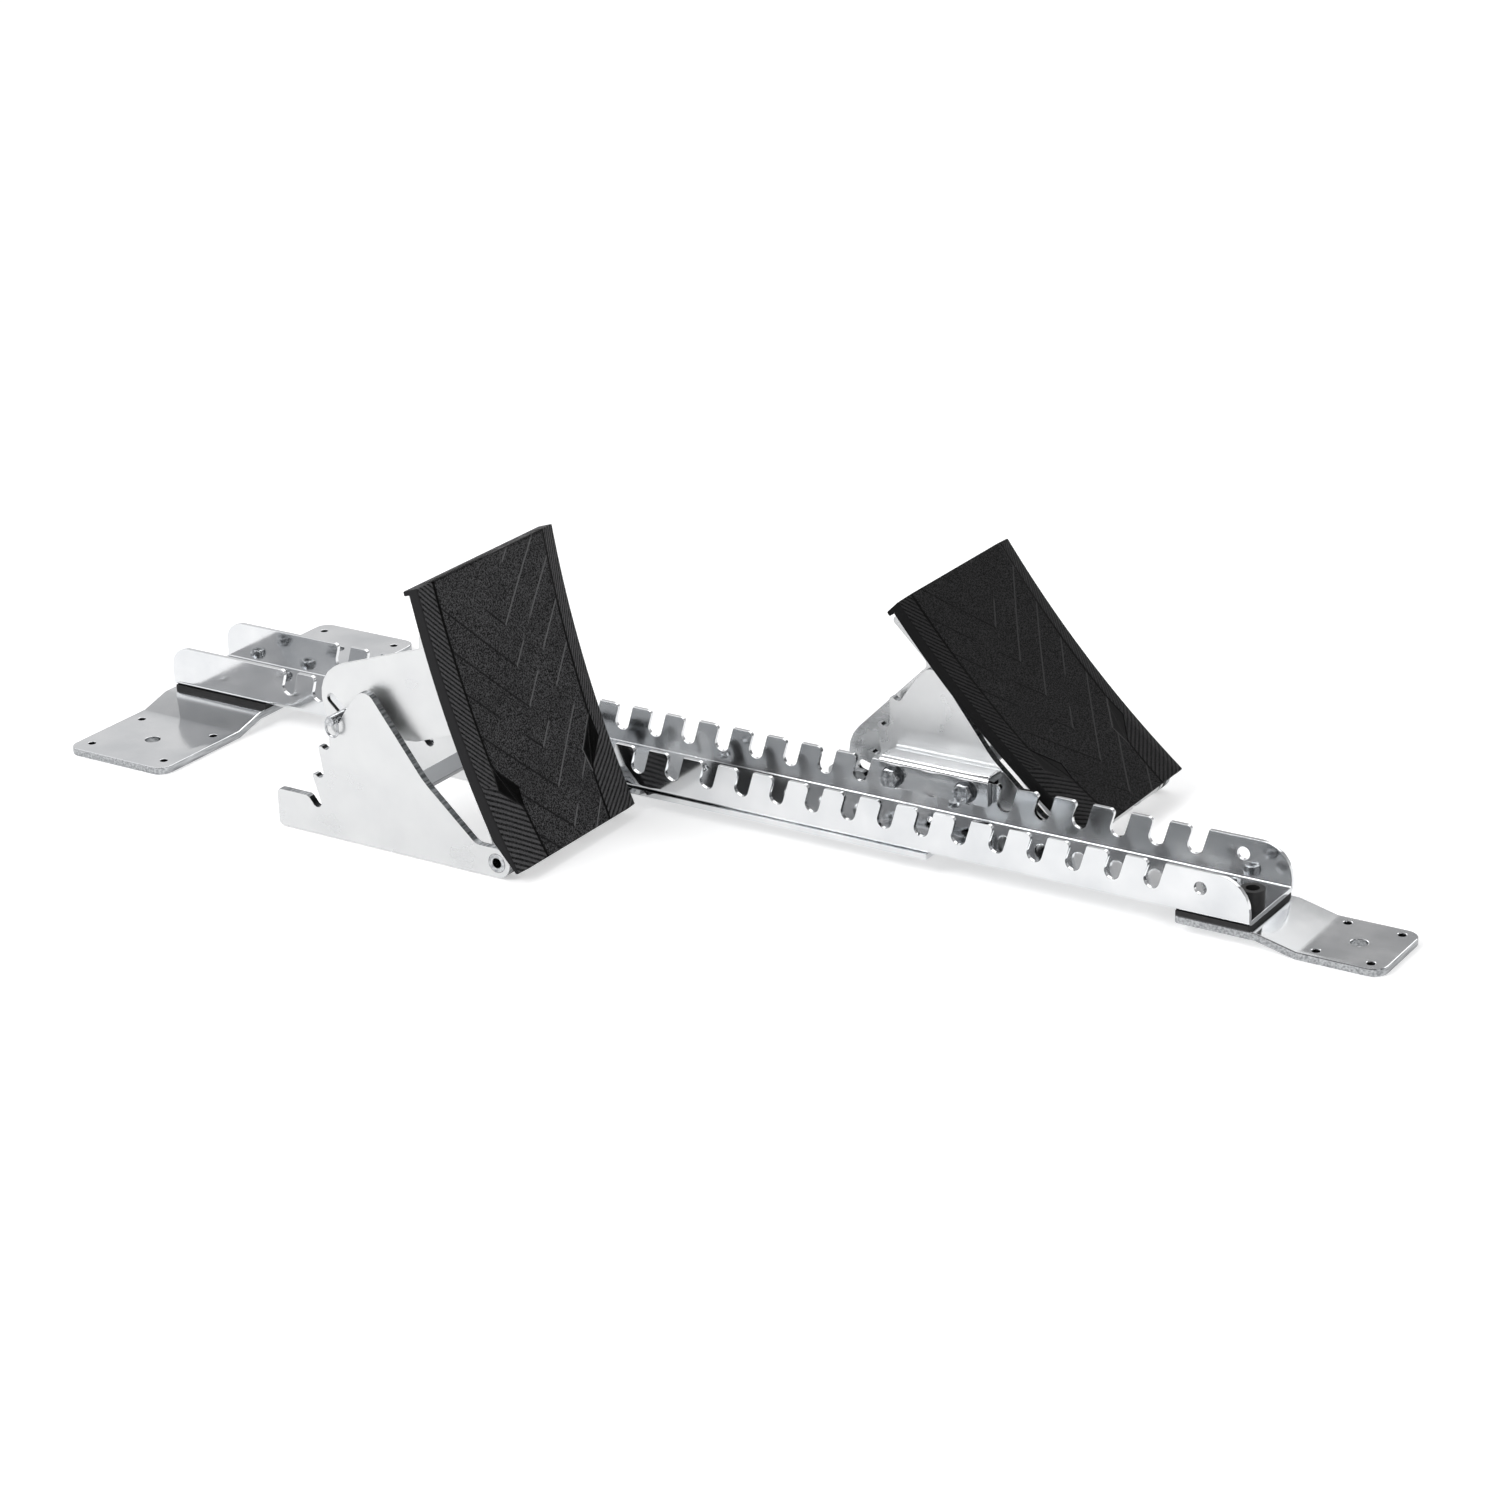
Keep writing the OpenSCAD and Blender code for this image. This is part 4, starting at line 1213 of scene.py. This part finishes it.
@dataclass(frozen=True)
class SoftBox:
    """A rectangular lamp.

    Attributes:
        name: The lamp's name.
        spot: Its place in metres.
        aim: The point it faces.
        size: Its width and height in metres.
        power: Its power in watts.
    """

    name: str
    spot: tuple[float, float, float]
    aim: tuple[float, float, float]
    size: tuple[float, float]
    power: float

    def hang(self) -> None:
        """Hangs the lamp."""
        data = bpy.data.lights.new(self.name, "AREA")
        data.shape = "RECTANGLE"
        data.size, data.size_y = self.size
        data.energy = self.power
        lamp = bpy.data.objects.new(self.name, data)
        bpy.context.scene.collection.objects.link(lamp)
        lamp.location = self.spot
        gaze = Vector(self.aim) - Vector(self.spot)
        lamp.rotation_euler = gaze.to_track_quat("-Z", "Y").to_euler()


@dataclass
class Studio:
    """Floor, lamps, world and camera.

    Attributes:
        target: The point the camera looks at, in millimetres.
        azimuth: The camera's direction round the set, in degrees.
        elevation: Its height angle.
        roll: Its turn about the line of sight.
        distance: Its distance from the target.
        lens: Its focal length, in millimetres.
        sensor: The width of its sensor.
        floor_size: The paper sweep's size in metres.
        lamps: The soft boxes.
        sky: Bands of the room between level and overhead, each with the sine of its height
            and its brightness.
        front: The level direction of the room's dark front.
        lamp_side: The level direction of its brighter side.
        gains: Brightness of the opposite side and of the brighter side.
    """

    target: tuple[float, float, float] = (-51.7, 87.85, 0.0)
    azimuth: float = 33.32
    elevation: float = 22.0
    roll: float = -1.66
    distance: float = 2394.9
    lens: float = 88.72
    sensor: float = 36.0
    floor_size: float = 24.0
    lamps: tuple[SoftBox, ...] = (
        SoftBox("key_box", (-1.4, -2.4, 2.6), (0.0, 0.0, 0.0), (1.8, 1.8), 62.0),
        SoftBox("fill_box", (2.6, -1.2, 1.8), (0.1, 0.0, 0.0), (1.5, 1.5), 26.0),
        SoftBox("back_box", (-0.4, 2.8, 2.4), (0.0, 0.0, 0.1), (4.4, 1.5), 24.0),
    )
    sky: tuple[tuple[float, float], ...] = (
        (0.12, 0.92),
        (0.3, 0.66),
        (0.425, 0.6),
        (0.47, 0.14),
        (0.5, 0.14),
        (0.545, 1.3),
        (0.73, 1.25),
        (0.84, 0.48),
    )
    front: tuple[float, float, float] = (0.55, -0.84, 0.0)
    lamp_side: tuple[float, float, float] = (-0.836, -0.549, 0.0)
    gains: tuple[float, float] = (0.7, 1.24)

    def lay_floor(self) -> None:
        """Lays the paper sweep."""
        bpy.ops.object.select_all(action="DESELECT")
        bpy.ops.mesh.primitive_plane_add(size=self.floor_size, location=(0.0, 0.0, 0.0))
        floor = bpy.context.object
        floor.name = "paper_sweep"
        paint(floor, StudioFloor("white paper sweep").material())
        floor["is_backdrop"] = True

    def light_world(self) -> None:
        """Lights the room: white to the camera; grey above and dark in front for the metal."""
        world = bpy.data.worlds.new("studio")
        bpy.context.scene.world = world
        world.use_nodes = True
        tree = world.node_tree
        tree.nodes.clear()
        place = add_node(tree, "TexCoord").outputs["Generated"]
        height = add_node(tree, "SeparateXYZ", None, {0: place}).outputs[2]
        ceiling = add_node(tree, "ValToRGB", None, {0: height})
        stops = ceiling.color_ramp.elements
        level, overhead = stops
        level.position, level.color = 0.0, (0.95, 0.95, 0.95, 1.0)
        overhead.position, overhead.color = 1.0, (0.55, 0.55, 0.56, 1.0)
        for spot, value in self.sky:
            stops.new(spot).color = (value, value, value * 1.01, 1.0)
        front, lamp_side = (
            add_node(
                tree, "VectorMath", {"operation": "DOT_PRODUCT"}, {0: place, 1: way}
            ).outputs[1]
            for way in (self.front, self.lamp_side)
        )
        dark = math_node(
            tree, "MULTIPLY", ramp(tree, front, 0.1, 0.5), ramp(tree, height, 0.06, 0.26)
        )
        walls = mix_colour(tree, dark, ceiling.outputs[0], (0.10, 0.10, 0.105, 1.0))
        gain = ramp(tree, lamp_side, -0.16, 0.16, *self.gains)
        room = add_node(tree, "Background", None, {0: walls, 1: gain})
        white = add_node(tree, "Background", None, {0: (1.0, 1.0, 1.0, 1.0), 1: 1.0})
        seen = add_node(tree, "LightPath").outputs["Is Camera Ray"]
        both = add_node(
            tree, "MixShader", None, {0: seen, 1: room.outputs[0], 2: white.outputs[0]}
        )
        add_node(tree, "OutputWorld", None, {0: both.outputs[0]})

    def set_camera(self) -> None:
        """Stands the camera where the photograph was taken."""
        az, el, roll = (math.radians(v) for v in (self.azimuth, self.elevation, self.roll))
        back = Vector((math.sin(az) * math.cos(el), -math.cos(az) * math.cos(el), math.sin(el)))
        flat_right = Vector((math.cos(az), math.sin(az), 0.0))
        flat_up = back.cross(flat_right)
        right = math.cos(roll) * flat_right + math.sin(roll) * flat_up
        up = back.cross(right)
        eye = (Vector(self.target) + back * self.distance) * MM
        turn = Matrix((right, up, back)).transposed().to_4x4()
        data = bpy.data.cameras.new("photo_view")
        data.sensor_width = self.sensor
        data.lens = self.lens
        data.clip_end = 60.0
        camera = bpy.data.objects.new("photo_view", data)
        camera.matrix_world = Matrix.Translation(eye) @ turn
        bpy.context.scene.collection.objects.link(camera)
        bpy.context.scene.camera = camera

    def build(self) -> None:
        """Sets up the whole studio."""
        self.lay_floor()
        for lamp in self.lamps:
            lamp.hang()
        self.light_world()
        self.set_camera()
        bpy.context.scene.view_settings.view_transform = "Standard"


def corners() -> list[list[float]]:
    """The whole object's box as two plain lists of metres."""
    return [list(map(float, corner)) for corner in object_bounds()]


def main() -> None:
    """Builds the scene in order."""
    logging.basicConfig(level=logging.INFO, format="%(name)s: %(message)s")
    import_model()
    Studio().build()
    shop = Workshop()
    Track(shop).build()
    FootBlock(shop, prefix="rear", hinge=(-73.327, -99.0, 10.0), side=-1, lean=18.6).build()
    FootBlock(shop, prefix="front", hinge=(206.073, 99.0, 10.0), side=1, lean=44.61).build()


if __name__ == "__main__":
    main()
